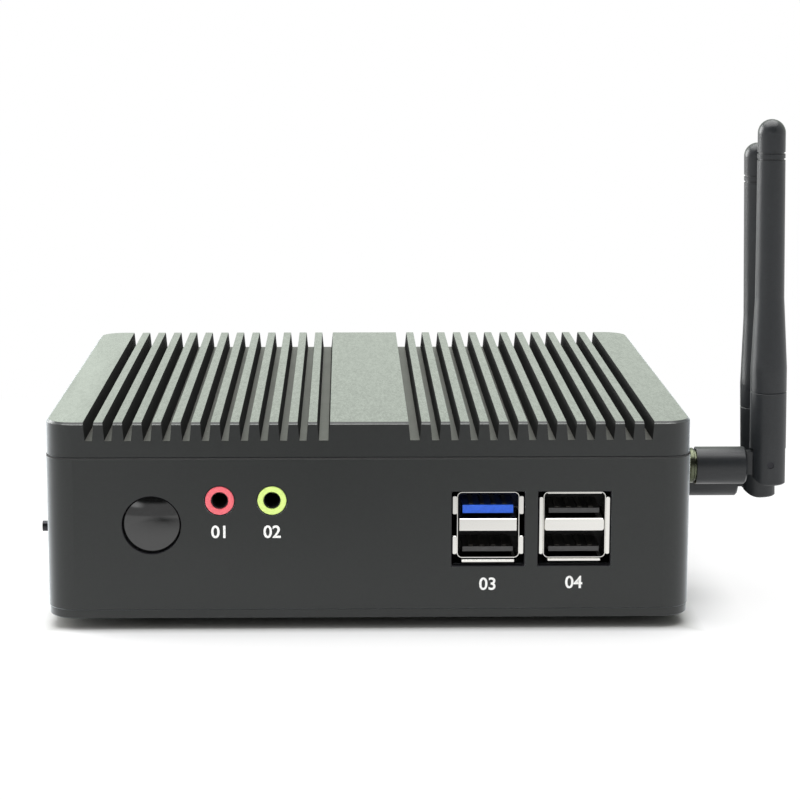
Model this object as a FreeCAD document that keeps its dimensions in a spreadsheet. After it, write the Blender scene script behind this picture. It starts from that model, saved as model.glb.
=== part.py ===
"""Fanless mini computer with a finned lid, two folding aerials and its inner parts, as a parametric document.

Millimetres, +Z up. The front panel faces -Y and the aerials stand on the right side, at +X. The origin is the
centre of the four bracket holes in the underside of the bottom cover, and the rubber feet reach below it.
"""
import FreeCAD, Part
import math
import os
import re

import Sketcher
from FreeCAD import Vector

SIZES = {
    # case
    "case_width": 134.0,
    "case_depth": 126.0,
    "corner_radius": 6.0,
    "wall_thickness": 3.0,
    "cover_thickness": 1.8,
    "cover_inset": 0.2,
    "frame_height": 32.1,
    "seam_chamfer": 0.25,
    "cut_over": 1.0,
    "bore_end_gap": 0.5,
    # finned lid
    "lid_height": 7.5,
    "lid_inset": 0.15,
    "lid_chamfer": 0.5,
    "lip_depth": 1.5,
    "lip_clearance": 0.25,
    "centre_band": 16.1,
    "centre_slot_width": 2.7,
    "fin_thickness": 1.8,
    "fin_pitch": 4.0,
    "fin_count": 12,
    "slot_depth": 3.8,
    # screws that hold the case together, and the feet
    "post_radius": 4.2,
    "post_inset": 3.5,
    "case_screw_radius": 1.49,
    "case_screw_grip": 4.1,
    "screw_head_radius": 2.95,
    "thread_fit": 0.02,
    "screw_clearance": 0.16,
    "foot_radius": 6.0,
    "foot_taper": 0.5,
    "foot_height": 2.4,
    "foot_inset": 16.0,
    "bracket_hole_radius": 1.65,
    "bracket_spacing": 75.0,
    "bracket_boss_radius": 3.5,
    "bracket_boss_height": 3.0,
    "bracket_boss_roof": 0.8,
    "stud_radius": 1.1,
    "stud_reach": 1.8,
    "stud_head_radius": 1.9,
    "stud_head_thickness": 1.0,
    "stud_setback": 12.0,
    "stud_drop": 24.3,
    # circuit board, hung upside down under the lid
    "standoff_length": 3.1,
    "standoff_radius": 2.5,
    "board_thickness": 1.6,
    "board_side_gap": 8.5,
    "board_end_gap": 0.5,
    "board_screw_side_inset": 3.5,
    "board_screw_front_inset": 12.5,
    "board_screw_rear_inset": 22.0,
    "board_screw_radius": 1.48,
    "board_screw_head_radius": 2.5,
    "board_screw_head_height": 1.6,
    "board_screw_grip": 3.5,
    "processor_side": 24.0,
    "processor_thickness": 1.2,
    "pad_thickness": 0.5,
    "heat_block_side": 48.0,
    "processor_across": -4.0,
    "processor_back": 4.0,
    # parts under the board
    "memory_length": 67.6,
    "memory_width": 30.0,
    "memory_thickness": 3.0,
    "memory_across": -15.0,
    "memory_back": 3.0,
    "memory_drop": 3.2,
    "memory_chip_width": 12.0,
    "memory_chip_depth": 14.0,
    "memory_chip_pitch": 15.4,
    "memory_chip_shift": 3.0,
    "socket_thickness": 5.0,
    "socket_width": 7.0,
    "socket_grip": 2.5,
    "socket_end_wall": 1.0,
    "card_width": 22.0,
    "card_thickness": 1.6,
    "card_drop": 2.6,
    "card_socket_height": 4.2,
    "card_socket_width": 6.0,
    "card_grip": 1.5,
    "card_chip_share": 0.55,
    "drive_length": 80.0,
    "drive_across": -11.0,
    "drive_setback": 32.0,
    "radio_length": 30.0,
    "radio_across": 38.0,
    "radio_back": 14.0,
    "card_post_radius": 2.0,
    "card_screw_head_radius": 1.9,
    "card_screw_head_height": 0.9,
    "card_screw_radius": 0.95,
    "card_screw_end_gap": 0.2,
    "cell_radius": 10.0,
    "cell_thickness": 3.2,
    "cell_across": 43.0,
    "cell_back": -24.0,
    "cell_holder_wall": 1.2,
    "cell_holder_floor": 1.0,
    "cell_exposed": 0.6,
    "coil_side": 7.0,
    "coil_height": 4.0,
    "coil_pitch": 9.0,
    "coil_count": 4,
    "coil_across": -34.0,
    "coil_setback": 29.5,
    "capacitor_radius": 3.15,
    "capacitor_height": 6.0,
    "capacitor_pitch": 8.0,
    "capacitor_count": 3,
    "capacitor_across": 5.0,
    # front panel
    "port_setback": 0.3,
    "port_gap": 0.1,
    "sheet_thickness": 0.3,
    "usb_left_inset": 42.4,
    "usb_right_inset": 24.5,
    "usb_cutout_width": 15.3,
    "usb_cutout_height": 16.0,
    "usb_cutout_drop": 0.85,
    "usb_opening_width": 12.6,
    "usb_opening_height": 5.5,
    "usb_divider": 2.65,
    "usb_drop": 1.2,
    "usb_depth": 17.5,
    "usb_lip": 0.85,
    "usb_side_lip_height": 3.9,
    "usb_side_lip_lift": 0.8,
    "usb_full_lip_lift": 0.6,
    "usb_full_lip_drop": 1.0,
    "usb_tab_width": 2.0,
    "usb_front_tab_back": 5.25,
    "usb_rear_tab_back": 13.1,
    "tongue_width": 10.5,
    "tongue_thickness": 1.0,
    "blue_tongue_thickness": 1.7,
    "tongue_lift": 0.95,
    "tongue_setback": 1.2,
    "insert_depth": 6.0,
    "contact_width": 0.9,
    "contact_thickness": 0.25,
    "contact_length": 9.0,
    "contact_pitch": 2.3,
    "contact_setback": 0.6,
    "microphone_inset": 36.1,
    "headphone_inset": 46.9,
    "jack_drop": 2.7,
    "jack_ring_radius": 3.12,
    "jack_bore_radius": 1.79,
    "jack_bore_depth": 14.0,
    "jack_width": 6.6,
    "jack_height": 5.6,
    "jack_length": 12.5,
    "button_inset": 22.0,
    "button_drop": 21.55,
    "button_radius": 6.04,
    "button_gap": 0.16,
    "button_flange_radius": 7.2,
    "button_flange_thickness": 1.0,
    "button_edge": 0.3,
    "button_dish": 0.25,
    "button_dish_share": 0.6,
    "plunger_radius": 1.5,
    "press_gap": 0.6,
    "switch_side": 6.0,
    "switch_height": 3.5,
    "actuator_radius": 1.7,
    "actuator_height": 0.8,
    "switch_board_thickness": 1.6,
    "switch_board_width": 18.0,
    "switch_board_height": 18.0,
    "switch_board_drop": 3.0,
    "switch_post_length": 7.0,
    "switch_post_radius": 2.4,
    "switch_post_spread": 7.0,
    "switch_post_drop": 8.8,
    "switch_screw_radius": 0.98,
    "switch_screw_head_radius": 1.9,
    "switch_screw_head_height": 1.3,
    "switch_screw_length": 6.0,
    "spring_radius": 5.7,
    "spring_wire_radius": 0.3,
    "spring_turns": 2,
    "spring_closing_gap": 0.06,
    "spring_end_gap": 0.1,
    # rear panel
    "inlet_width": 9.0,
    "inlet_height": 11.0,
    "inlet_length": 14.0,
    "inlet_bore_radius": 2.75,
    "inlet_bore_depth": 9.5,
    "inlet_pin_radius": 1.05,
    "inlet_pin_seat": 3.0,
    "inlet_pin_setback": 2.0,
    "inlet_pin_bevel": 0.5,
    "inlet_nose_radius": 4.0,
    "wide_video_width": 30.8,
    "wide_video_height": 12.5,
    "wide_video_shell_width": 16.9,
    "wide_video_shell_height": 8.3,
    "wide_video_reach": 5.0,
    "wide_video_length": 14.0,
    "wide_video_screw_spread": 25.0,
    "wide_video_plate": 0.8,
    "wide_video_nose_reach": 5.6,
    "wide_video_base_share": 0.6,
    "jackscrew_radius": 2.4,
    "jackscrew_bore_radius": 1.3,
    "jackscrew_reach": 2.0,
    "jackscrew_shank": 5.0,
    "small_video_width": 15.0,
    "small_video_height": 5.6,
    "small_video_length": 11.5,
    "small_video_plug_depth": 3.0,
    "small_tongue_thickness": 1.2,
    "small_tongue_setback": 2.0,
    "lan_width": 16.0,
    "lan_height": 13.4,
    "lan_length": 21.0,
    "lan_opening_width": 11.8,
    "lan_opening_height": 8.0,
    "lan_opening_depth": 13.5,
    "lan_opening_drop": 2.2,
    "lan_latch_drop": 1.6,
    "lan_latch_over": 0.4,
    "lan_latch_short": 4.0,
    "lan_wire_side": 0.4,
    "lan_wire_length": 9.0,
    "lan_wire_pitch": 1.02,
    # aerials on the right side
    "front_aerial_setback": 22.0,
    "front_aerial_drop": 13.68,
    "rear_aerial_setback": 37.8,
    "rear_aerial_drop": 19.68,
    "front_collar_gap": 0.1,
    "rear_collar_gap": 0.8,
    "barrel_radius": 3.1,
    "barrel_reach": 7.5,
    "barrel_bore_radius": 0.65,
    "barrel_bore_depth": 5.0,
    "jack_flange_radius": 3.9,
    "jack_flange_thickness": 2.0,
    "jack_tail_radius": 2.0,
    "jack_tail_length": 4.0,
    "jack_nut_radius": 4.0,
    "jack_nut_thickness": 2.0,
    "collar_radius": 3.8,
    "collar_width": 1.3,
    "collar_hub_radius": 3.55,
    "collar_hub_length": 4.2,
    "collar_bore_radius": 3.13,
    "sleeve_radius": 4.03,
    "sleeve_length": 10.8,
    "sleeve_fit": 0.06,
    "sleeve_bevel": 0.4,
    "tongue_root": 1.0,
    "swivel_gap": 0.1,
    "pivot_setoff": 15.7,
    "pivot_rise": 0.65,
    "tongue_radius": 2.45,
    "knuckle_thickness": 3.0,
    "knuckle_gap": 0.15,
    "hinge_pin_radius": 0.75,
    "hinge_pin_length": 7.3,
    "hinge_pin_fit": 0.05,
    "rod_foot_radius": 3.87,
    "rod_tip_radius": 2.95,
    "rod_waist_radius": 3.1,
    "rod_drop": 4.54,
    "rod_reach": 73.7,
    "rod_step": 15.5,
    "rod_step_depth": 0.15,
    "rod_foot_bevel": 0.3,
    "rod_tip_flat": 0.02,
    "corner_cut_over": 3.0,
    "front_rod_lean": 0.9,
    "rear_rod_lean": 1.6,
    "taper_start": 20.7,
    "taper_end": 35.8,
    "ring_groove_place": 65.3,
    "ring_groove_pitch": 1.3,
    "ring_groove_depth": 0.25,
    "ring_groove_width": 0.4,
    "fork_depth": 3.2,
    "lead_radius": 0.65,
    "lead_card_setback": 12.0,
    "lead_bend": 1.25,
}

FRAME_TOP = "(cover_thickness + frame_height)"
LID_TOP = f"({FRAME_TOP} + lid_height)"
LIP_LOW = f"({FRAME_TOP} - lip_depth)"
BOARD_TOP = f"({LIP_LOW} - standoff_length)"
BOARD_LOW = f"({BOARD_TOP} - board_thickness)"
BOARD_WIDTH = "(case_width - 2 * wall_thickness - 2 * board_side_gap)"
BOARD_DEPTH = "(case_depth - 2 * wall_thickness - 2 * board_end_gap)"
HALF_DEPTH = "(case_depth / 2)"
HALF_WIDTH = "(case_width / 2)"
INNER_HALF_DEPTH = "(case_depth / 2 - wall_thickness)"
INNER_HALF_WIDTH = "(case_width / 2 - wall_thickness)"
POST_ACROSS = f"({INNER_HALF_WIDTH} - post_inset)"
POST_BACK = f"({INNER_HALF_DEPTH} - post_inset)"
BOARD_SCREW_ACROSS = f"({BOARD_WIDTH} / 2 - board_screw_side_inset)"
BOARD_SCREW_FRONT = f"({BOARD_DEPTH} / 2 - board_screw_front_inset)"
BOARD_SCREW_SPREAD = f"({BOARD_DEPTH} - board_screw_front_inset - board_screw_rear_inset)"
USB_HIGH = f"({BOARD_LOW} - usb_drop)"
USB_UPPER_LOW = f"({USB_HIGH} - usb_opening_height)"
USB_LOWER_LOW = f"({USB_UPPER_LOW} - usb_divider - usb_opening_height)"
JACK_HEIGHT = f"({BOARD_LOW} - jack_drop)"
PORT_FRONT = "(case_depth / 2 - port_setback)"
SWITCH_BOARD_FRONT = f"({INNER_HALF_DEPTH} - switch_post_length)"
CASE_SCREW_LENGTH = f"({FRAME_TOP} + case_screw_grip)"
SWITCH_POST_HEIGHT = "(button_height - switch_post_drop)"
REAR_GAP = f"(({BOARD_WIDTH} - inlet_width - wide_video_width - small_video_width - 2 * lan_width) / 6)"

# places that other sizes give, by the name that the pieces use
PLACES = {
    "usb_left_across": f"({HALF_WIDTH} - usb_left_inset)",
    "usb_right_across": f"({HALF_WIDTH} - usb_right_inset)",
    "microphone_across": f"(microphone_inset - {HALF_WIDTH})",
    "headphone_across": f"(headphone_inset - {HALF_WIDTH})",
    "button_across": f"(button_inset - {HALF_WIDTH})",
    "button_height": f"({LID_TOP} - button_drop)",
    "drive_back": f"(drive_setback - {HALF_DEPTH})",
    "coil_back": f"({HALF_DEPTH} - coil_setback)",
    "inlet_across": f"({REAR_GAP} + inlet_width / 2 - {BOARD_WIDTH} / 2)",
    "wide_video_across": f"(inlet_across + inlet_width / 2 + {REAR_GAP} + wide_video_width / 2)",
    "small_video_across": f"(wide_video_across + (wide_video_width + small_video_width) / 2 + {REAR_GAP})",
    "lan_left_across": f"(small_video_across + (small_video_width + lan_width) / 2 + {REAR_GAP})",
    "lan_right_across": f"(lan_left_across + lan_width + {REAR_GAP})",
    "front_aerial_height": f"({LID_TOP} - front_aerial_drop)",
    "rear_aerial_height": f"({LID_TOP} - rear_aerial_drop)",
    "front_collar_across": f"({HALF_WIDTH} + jack_nut_thickness + front_collar_gap)",
    "rear_collar_across": f"({HALF_WIDTH} + jack_nut_thickness + rear_collar_gap)",
}

document = FreeCAD.newDocument("FanlessComputer")
sheet = document.addObject("Spreadsheet::Sheet", "Sizes")
for row, (alias, number) in enumerate(SIZES.items(), 1):
    sheet.set(f"A{row}", alias)
    sheet.set(f"B{row}", str(number))
    sheet.setAlias(f"B{row}", alias)
document.recompute()

pieces = []


# ---- small helpers -------------------------------------------------------------------------------
def cells(text):
    """An expression in plain aliases, with places written out and the sheet's name put before each alias."""
    def with_sheet(word):
        name = word.group()
        if name in PLACES:
            return cells(PLACES[name])
        return "Sizes." + name if name in SIZES else name

    return re.sub(r"[a-z][a-z_]+", with_sheet, text)


def bind(thing, prop, text):
    thing.setExpression(prop, cells(text))


def put(thing, across=None, back=None, up=None):
    """Binds a placement to the sheet."""
    for axis, text in (("x", across), ("y", back), ("z", up)):
        if text is not None:
            bind(thing, "Placement.Base." + axis, text)
    return thing


def keep(thing, label):
    thing.Label = label
    pieces.append(thing)
    return thing


def new_body(label):
    return keep(document.addObject("PartDesign::Body", label), label)


def origin_of(body, role):
    return next(item for item in body.Origin.OriginFeatures if item.Role == role)


def sketch_on(body, role, offset="0"):
    """A sketch on one of the body's own origin planes, moved along that plane's normal."""
    sketch = body.newObject("Sketcher::SketchObject", body.Name + "_sketch")
    sketch.AttachmentSupport = [(origin_of(body, role), "")]
    sketch.MapMode = "FlatFace"
    bind(sketch, "AttachmentOffset.Base.z", offset)
    return sketch


def dimension(sketch, kind, ends, text):
    index = sketch.addConstraint(Sketcher.Constraint(kind, *ends, 1.0))
    bind(sketch, f"Constraints[{index}]", text)


def polygon(sketch, points):
    """A closed outline whose every corner is dimensioned from the sketch's origin."""
    first = sketch.GeometryCount
    count = len(points)
    spots = [Vector(index + 1, (index * index) % 5 + 1, 0) for index in range(count)]
    for index in range(count):
        sketch.addGeometry(Part.LineSegment(spots[index], spots[(index + 1) % count]))
    for index in range(count):
        following = first + (index + 1) % count
        sketch.addConstraint(Sketcher.Constraint("Coincident", first + index, 2, following, 1))
    for index, (across, up) in enumerate(points):
        dimension(sketch, "DistanceX", (-1, 1, first + index, 1), across)
        dimension(sketch, "DistanceY", (-1, 1, first + index, 1), up)


def rectangle(sketch, left, low, wide, high):
    right = f"{left} + {wide}"
    top = f"{low} + {high}"
    polygon(sketch, [(left, low), (right, low), (right, top), (left, top)])


def centred(sketch, across, up, wide, high):
    rectangle(sketch, f"{across} - ({wide}) / 2", f"{up} - ({high}) / 2", f"({wide})", f"({high})")


def circle(sketch, across, up, radius):
    index = sketch.addGeometry(Part.Circle(Vector(1, 1, 0), Vector(0, 0, 1), 1))
    dimension(sketch, "Radius", (index,), radius)
    dimension(sketch, "DistanceX", (-1, 1, index, 3), across)
    dimension(sketch, "DistanceY", (-1, 1, index, 3), up)


def extrude(body, kind, sketch, length, backwards=False):
    feature = body.newObject("PartDesign::" + kind, f"{body.Name}_{kind.lower()}")
    feature.Profile = sketch
    feature.Reversed = backwards
    bind(feature, "Length", length)
    return feature


def pad(body, sketch, length, backwards=False):
    return extrude(body, "Pad", sketch, length, backwards)


def pocket(body, sketch, length, backwards=False):
    return extrude(body, "Pocket", sketch, length, backwards)


def turn(body, points, plane, axis):
    """A turned solid: a half section on a plane, revolved about one of the body's axes."""
    sketch = sketch_on(body, plane)
    polygon(sketch, points)
    feature = body.newObject("PartDesign::Revolution", body.Name + "_turned")
    feature.Profile = sketch
    feature.ReferenceAxis = (origin_of(body, axis), [""])
    feature.Angle = 360
    return feature


def turn_up(body, points):
    """Half section as (radius, height) about Z."""
    return turn(body, points, "XZ_Plane", "Z_Axis")


def turn_across(body, points):
    """Half section as (distance along X, radius) about X."""
    return turn(body, points, "XY_Plane", "X_Axis")


def turn_back(body, points):
    """Half section as (radius, distance along Y) about Y."""
    return turn(body, points, "XY_Plane", "Y_Axis")


def row_along(body, axis, length, count):
    pattern = body.newObject("PartDesign::LinearPattern", body.Name + "_row")
    pattern.Direction = (origin_of(body, axis), [""])
    bind(pattern, "Length", length)
    bind(pattern, "Occurrences", count)
    return pattern


def transform(body, original, patterns):
    group = body.newObject("PartDesign::MultiTransform", body.Name + "_copies")
    group.Originals = [original]
    group.Transformations = patterns
    body.Tip = group
    return group


def mirror_of(body, plane):
    mirror = body.newObject("PartDesign::Mirrored", body.Name + "_mirror")
    mirror.MirrorPlane = (origin_of(body, plane), [""])
    return mirror


def four_corners(body, original, spread_across, spread_back):
    rows = [row_along(body, "X_Axis", spread_across, "2"), row_along(body, "Y_Axis", spread_back, "2")]
    return transform(body, original, rows)


def edges_where(feature, test):
    document.recompute()
    return [f"Edge{index}" for index, edge in enumerate(feature.Shape.Edges, 1) if test(edge)]


def dress(body, kind, feature, test, prop, text):
    """A fillet or chamfer on the edges that pass a test."""
    names = edges_where(feature, test)
    dressed = body.newObject("PartDesign::" + kind, f"{body.Name}_{kind.lower()}")
    dressed.Base = (feature, names)
    bind(dressed, prop, text)
    return dressed


def fillet(body, feature, test, radius):
    return dress(body, "Fillet", feature, test, "Radius", radius)


def chamfer(body, feature, test, size):
    return dress(body, "Chamfer", feature, test, "Size", size)


def upright(edge):
    low, high = edge.Vertexes[0].Point, edge.Vertexes[-1].Point
    return abs(low.x - high.x) < 1e-6 and abs(low.y - high.y) < 1e-6 and abs(low.z - high.z) > 1e-3


def level_at(height):
    return lambda edge: all(abs(vertex.Z - height) < 1e-6 for vertex in edge.Vertexes)


def inside_walls(edge):
    """An upright edge of the case's inner corners."""
    inner_right = SIZES["case_width"] / 2 - SIZES["wall_thickness"] / 2
    inner_rear = SIZES["case_depth"] / 2 - SIZES["wall_thickness"] / 2
    ends = edge.Vertexes
    return upright(edge) and all(abs(spot.X) < inner_right and abs(spot.Y) < inner_rear for spot in ends)


def block(label, across, back, low, wide, deep, tall):
    """A box by the middle of its footprint and its lowest height, not yet kept as a piece."""
    box = document.addObject("Part::Box", label)
    for prop, text in (("Length", wide), ("Width", deep), ("Height", tall)):
        bind(box, prop, text)
    return put(box, f"{across} - ({wide}) / 2", f"{back} - ({deep}) / 2", low)


def gathered(label, parts):
    """Identical pieces that share one node, as separate solids."""
    group = document.addObject("Part::Compound", label)
    group.Links = parts
    return keep(group, label)


def cut(label, base, tool):
    made = document.addObject("Part::Cut", label)
    made.Base = base
    made.Tool = tool
    return made


def fused(label, parts):
    made = document.addObject("Part::MultiFuse", label)
    made.Shapes = parts
    made.Refine = True
    return made


def cylinder(label, across, back, low, radius, tall):
    made = document.addObject("Part::Cylinder", label)
    bind(made, "Radius", radius)
    bind(made, "Height", tall)
    return put(made, across, back, low)


# ---- case ----------------------------------------------------------------------------------------
def heatsink_lid():
    """Finned lid: a slab with a locating lip below and open-ended slots between its fins above."""
    body = new_body("heatsink_lid")
    outline = sketch_on(body, "XY_Plane", FRAME_TOP)
    centred(outline, "0", "0", "case_width - 2 * lid_inset", "case_depth - 2 * lid_inset")
    slab = pad(body, outline, "lid_height")
    rounded = fillet(body, slab, upright, "corner_radius - lid_inset")
    top = SIZES["cover_thickness"] + SIZES["frame_height"] + SIZES["lid_height"]
    bevelled = chamfer(body, rounded, level_at(top), "lid_chamfer")
    chamfer(body, bevelled, level_at(top - SIZES["lid_height"]), "seam_chamfer")

    lip = sketch_on(body, "XY_Plane", FRAME_TOP)
    inner_width = f"2 * {INNER_HALF_WIDTH} - 2 * lip_clearance"
    inner_depth = f"2 * {INNER_HALF_DEPTH} - 2 * lip_clearance"
    centred(lip, "0", "0", inner_width, inner_depth)
    lip_pad = pad(body, lip, "lip_depth", backwards=True)
    lip_low = top - SIZES["lid_height"] - SIZES["lip_depth"]
    fillet(
        body,
        lip_pad,
        lambda edge: upright(edge) and abs(min(vertex.Z for vertex in edge.Vertexes) - lip_low) < 1e-6,
        "corner_radius - wall_thickness",
    )

    centre_slot = sketch_on(body, "XZ_Plane", HALF_DEPTH)
    slot_low = f"{LID_TOP} - slot_depth"
    slot_tall = "(slot_depth + cut_over)"
    rectangle(centre_slot, "centre_band / 2", slot_low, "centre_slot_width", slot_tall)
    wide_cut = pocket(body, centre_slot, "case_depth")
    transform(body, wide_cut, [mirror_of(body, "YZ_Plane")])

    fin_slot = sketch_on(body, "XZ_Plane", HALF_DEPTH)
    slot_left = "centre_band / 2 + centre_slot_width + fin_thickness"
    rectangle(fin_slot, slot_left, slot_low, "(fin_pitch - fin_thickness)", slot_tall)
    narrow_cut = pocket(body, fin_slot, "case_depth")
    row = row_along(body, "X_Axis", "fin_pitch * (fin_count - 1)", "fin_count")
    transform(body, narrow_cut, [row, mirror_of(body, "YZ_Plane")])

    for across, back, screw, grip in (
        (POST_ACROSS, POST_BACK, "case_screw", f"{CASE_SCREW_LENGTH} - {LIP_LOW}"),
        (BOARD_SCREW_ACROSS, BOARD_SCREW_FRONT, "board_screw", "board_screw_grip"),
    ):
        hole = sketch_on(body, "XY_Plane", LIP_LOW)
        circle(hole, "-" + across, "-" + back, f"{screw}_radius + thread_fit")
        drilled = pocket(body, hole, grip + " + bore_end_gap", backwards=True)
        spread_back = BOARD_SCREW_SPREAD if screw == "board_screw" else "2 * " + back
        four_corners(body, drilled, "2 * " + across, spread_back)


def front_cutouts(body):
    """Openings through the front wall, cut from its outer face."""
    sketch = sketch_on(body, "XZ_Plane", HALF_DEPTH)
    circle(sketch, "button_across", "button_height", "button_radius + button_gap")
    for across in ("microphone_across", "headphone_across"):
        circle(sketch, across, JACK_HEIGHT, "jack_ring_radius + port_gap")
    cutout_low = f"{BOARD_LOW} - usb_cutout_drop - usb_cutout_height"
    for across in ("usb_left_across", "usb_right_across"):
        left = f"{across} - usb_cutout_width / 2"
        rectangle(sketch, left, cutout_low, "usb_cutout_width", "usb_cutout_height")
    pocket(body, sketch, "wall_thickness")


def rear_cutouts(body):
    """Openings through the rear wall, cut from its inner face."""
    sketch = sketch_on(body, "XZ_Plane", "-" + INNER_HALF_DEPTH)
    circle(sketch, "inlet_across", f"{BOARD_LOW} - inlet_height / 2", "inlet_nose_radius + port_gap")
    video_middle = f"{BOARD_LOW} - wide_video_height / 2"
    shell_width = "wide_video_shell_width + 4 * port_gap"
    centred(sketch, "wide_video_across", video_middle, shell_width, "wide_video_shell_height + 4 * port_gap")
    for side in ("-", "+"):
        across = f"wide_video_across {side} wide_video_screw_spread / 2"
        circle(sketch, across, video_middle, "jackscrew_radius + port_gap")
    small_middle = f"{BOARD_LOW} - small_video_height / 2"
    small_wide = "small_video_width + 2 * port_gap"
    centred(sketch, "small_video_across", small_middle, small_wide, "small_video_height + 2 * port_gap")
    for across in ("lan_left_across", "lan_right_across"):
        lan_middle = f"{BOARD_LOW} - lan_height / 2"
        centred(sketch, across, lan_middle, "lan_width + 2 * port_gap", "lan_height + 2 * port_gap")
    pocket(body, sketch, "wall_thickness")


def side_cutouts(body):
    """Holes for the two aerial jacks on the right and for the stud on the left."""
    right = sketch_on(body, "YZ_Plane", HALF_WIDTH)
    for place in ("front", "rear"):
        back = f"{place}_aerial_setback - {HALF_DEPTH}"
        circle(right, back, f"{place}_aerial_height", "barrel_radius + port_gap")
    pocket(body, right, "wall_thickness")
    left = sketch_on(body, "YZ_Plane", "-" + INNER_HALF_WIDTH)
    circle(left, f"stud_setback - {HALF_DEPTH}", f"{LID_TOP} - stud_drop", "stud_radius + thread_fit")
    pocket(body, left, "wall_thickness")


def case_frame():
    """The four walls in one piece, with corner posts for the case screws and the panel openings."""
    body = new_body("case_frame")
    outline = sketch_on(body, "XY_Plane", "cover_thickness")
    centred(outline, "0", "0", "case_width", "case_depth")
    solid = pad(body, outline, "frame_height")
    rounded = fillet(body, solid, upright, "corner_radius")
    low = SIZES["cover_thickness"]
    high = low + SIZES["frame_height"]
    chamfer(body, rounded, lambda edge: level_at(low)(edge) or level_at(high)(edge), "seam_chamfer")

    inside = sketch_on(body, "XY_Plane", FRAME_TOP)
    centred(inside, "0", "0", f"2 * {INNER_HALF_WIDTH}", f"2 * {INNER_HALF_DEPTH}")
    hollow = pocket(body, inside, "frame_height")
    fillet(body, hollow, inside_walls, "corner_radius - wall_thickness")

    post = sketch_on(body, "XY_Plane", "cover_thickness")
    circle(post, "-" + POST_ACROSS, "-" + POST_BACK, "post_radius")
    post_pad = pad(body, post, "frame_height - lip_depth")
    four_corners(body, post_pad, "2 * " + POST_ACROSS, "2 * " + POST_BACK)
    bore = sketch_on(body, "XY_Plane", FRAME_TOP)
    circle(bore, "-" + POST_ACROSS, "-" + POST_BACK, "case_screw_radius + screw_clearance")
    bored = pocket(body, bore, "frame_height")
    four_corners(body, bored, "2 * " + POST_ACROSS, "2 * " + POST_BACK)

    switch_posts = sketch_on(body, "XZ_Plane", INNER_HALF_DEPTH)
    pilot = sketch_on(body, "XZ_Plane", SWITCH_BOARD_FRONT)
    for side in ("-", "+"):
        across = f"button_across {side} switch_post_spread"
        circle(switch_posts, across, SWITCH_POST_HEIGHT, "switch_post_radius")
        circle(pilot, across, SWITCH_POST_HEIGHT, "switch_screw_radius + thread_fit")
    pad(body, switch_posts, "switch_post_length", backwards=True)
    pocket(body, pilot, "switch_screw_length - switch_board_thickness + bore_end_gap", backwards=True)

    front_cutouts(body)
    rear_cutouts(body)
    side_cutouts(body)


def bottom_cover():
    """Flat plate with countersunk holes at the corners and four blind tapped bosses for a bracket."""
    body = new_body("bottom_cover")
    outline = sketch_on(body, "XY_Plane")
    centred(outline, "0", "0", "case_width - 2 * cover_inset", "case_depth - 2 * cover_inset")
    plate = pad(body, outline, "cover_thickness")
    rounded = fillet(body, plate, upright, "corner_radius - cover_inset")
    chamfer(body, rounded, level_at(0.0), "seam_chamfer")

    boss = sketch_on(body, "XY_Plane", "cover_thickness")
    circle(boss, "-bracket_spacing / 2", "-bracket_spacing / 2", "bracket_boss_radius")
    raised = pad(body, boss, "bracket_boss_height")
    four_corners(body, raised, "bracket_spacing", "bracket_spacing")
    tapped = sketch_on(body, "XY_Plane")
    circle(tapped, "-bracket_spacing / 2", "-bracket_spacing / 2", "bracket_hole_radius")
    deep = "cover_thickness + bracket_boss_height - bracket_boss_roof"
    drilled = pocket(body, tapped, deep, backwards=True)
    four_corners(body, drilled, "bracket_spacing", "bracket_spacing")

    clear = "case_screw_radius + screw_clearance"
    sinking = body.newObject("Sketcher::SketchObject", "countersink_section")
    sinking.AttachmentSupport = [(origin_of(body, "XZ_Plane"), "")]
    sinking.MapMode = "FlatFace"
    bind(sinking, "AttachmentOffset.Base.z", POST_BACK)
    bind(sinking, "AttachmentOffset.Base.x", "-" + POST_ACROSS)
    top = "cover_thickness + cut_over"
    polygon(
        sinking,
        [
            ("0", "-cut_over"),
            ("screw_head_radius + screw_clearance", "-cut_over"),
            ("screw_head_radius + screw_clearance", "0"),
            (clear, "screw_head_radius - case_screw_radius"),
            (clear, top),
            ("0", top),
        ],
    )
    groove = body.newObject("PartDesign::Groove", "countersink")
    groove.Profile = sinking
    groove.ReferenceAxis = (sinking, ["V_Axis"])
    groove.Angle = 360
    four_corners(body, groove, "2 * " + POST_ACROSS, "2 * " + POST_BACK)


def case_screws():
    """Four long countersunk screws, up through the cover and the posts into the lid."""
    body = new_body("case_screws")
    screw = turn_up(
        body,
        [
            ("0", "0"),
            ("screw_head_radius", "0"),
            ("case_screw_radius", "screw_head_radius - case_screw_radius"),
            ("case_screw_radius", CASE_SCREW_LENGTH),
            ("0", CASE_SCREW_LENGTH),
        ],
    )
    four_corners(body, screw, "2 * " + POST_ACROSS, "2 * " + POST_BACK)
    put(body, "-" + POST_ACROSS, "-" + POST_BACK, "0")


def rubber_feet():
    body = new_body("rubber_feet")
    foot = turn_up(
        body,
        [
            ("0", "0"),
            ("foot_radius", "0"),
            ("foot_radius", "-foot_height / 2"),
            ("foot_radius - foot_taper", "-foot_height"),
            ("0", "-foot_height"),
        ],
    )
    across = f"({HALF_WIDTH} - foot_inset)"
    back = f"({HALF_DEPTH} - foot_inset)"
    four_corners(body, foot, "2 * " + across, "2 * " + back)
    put(body, "-" + across, "-" + back)


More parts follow.
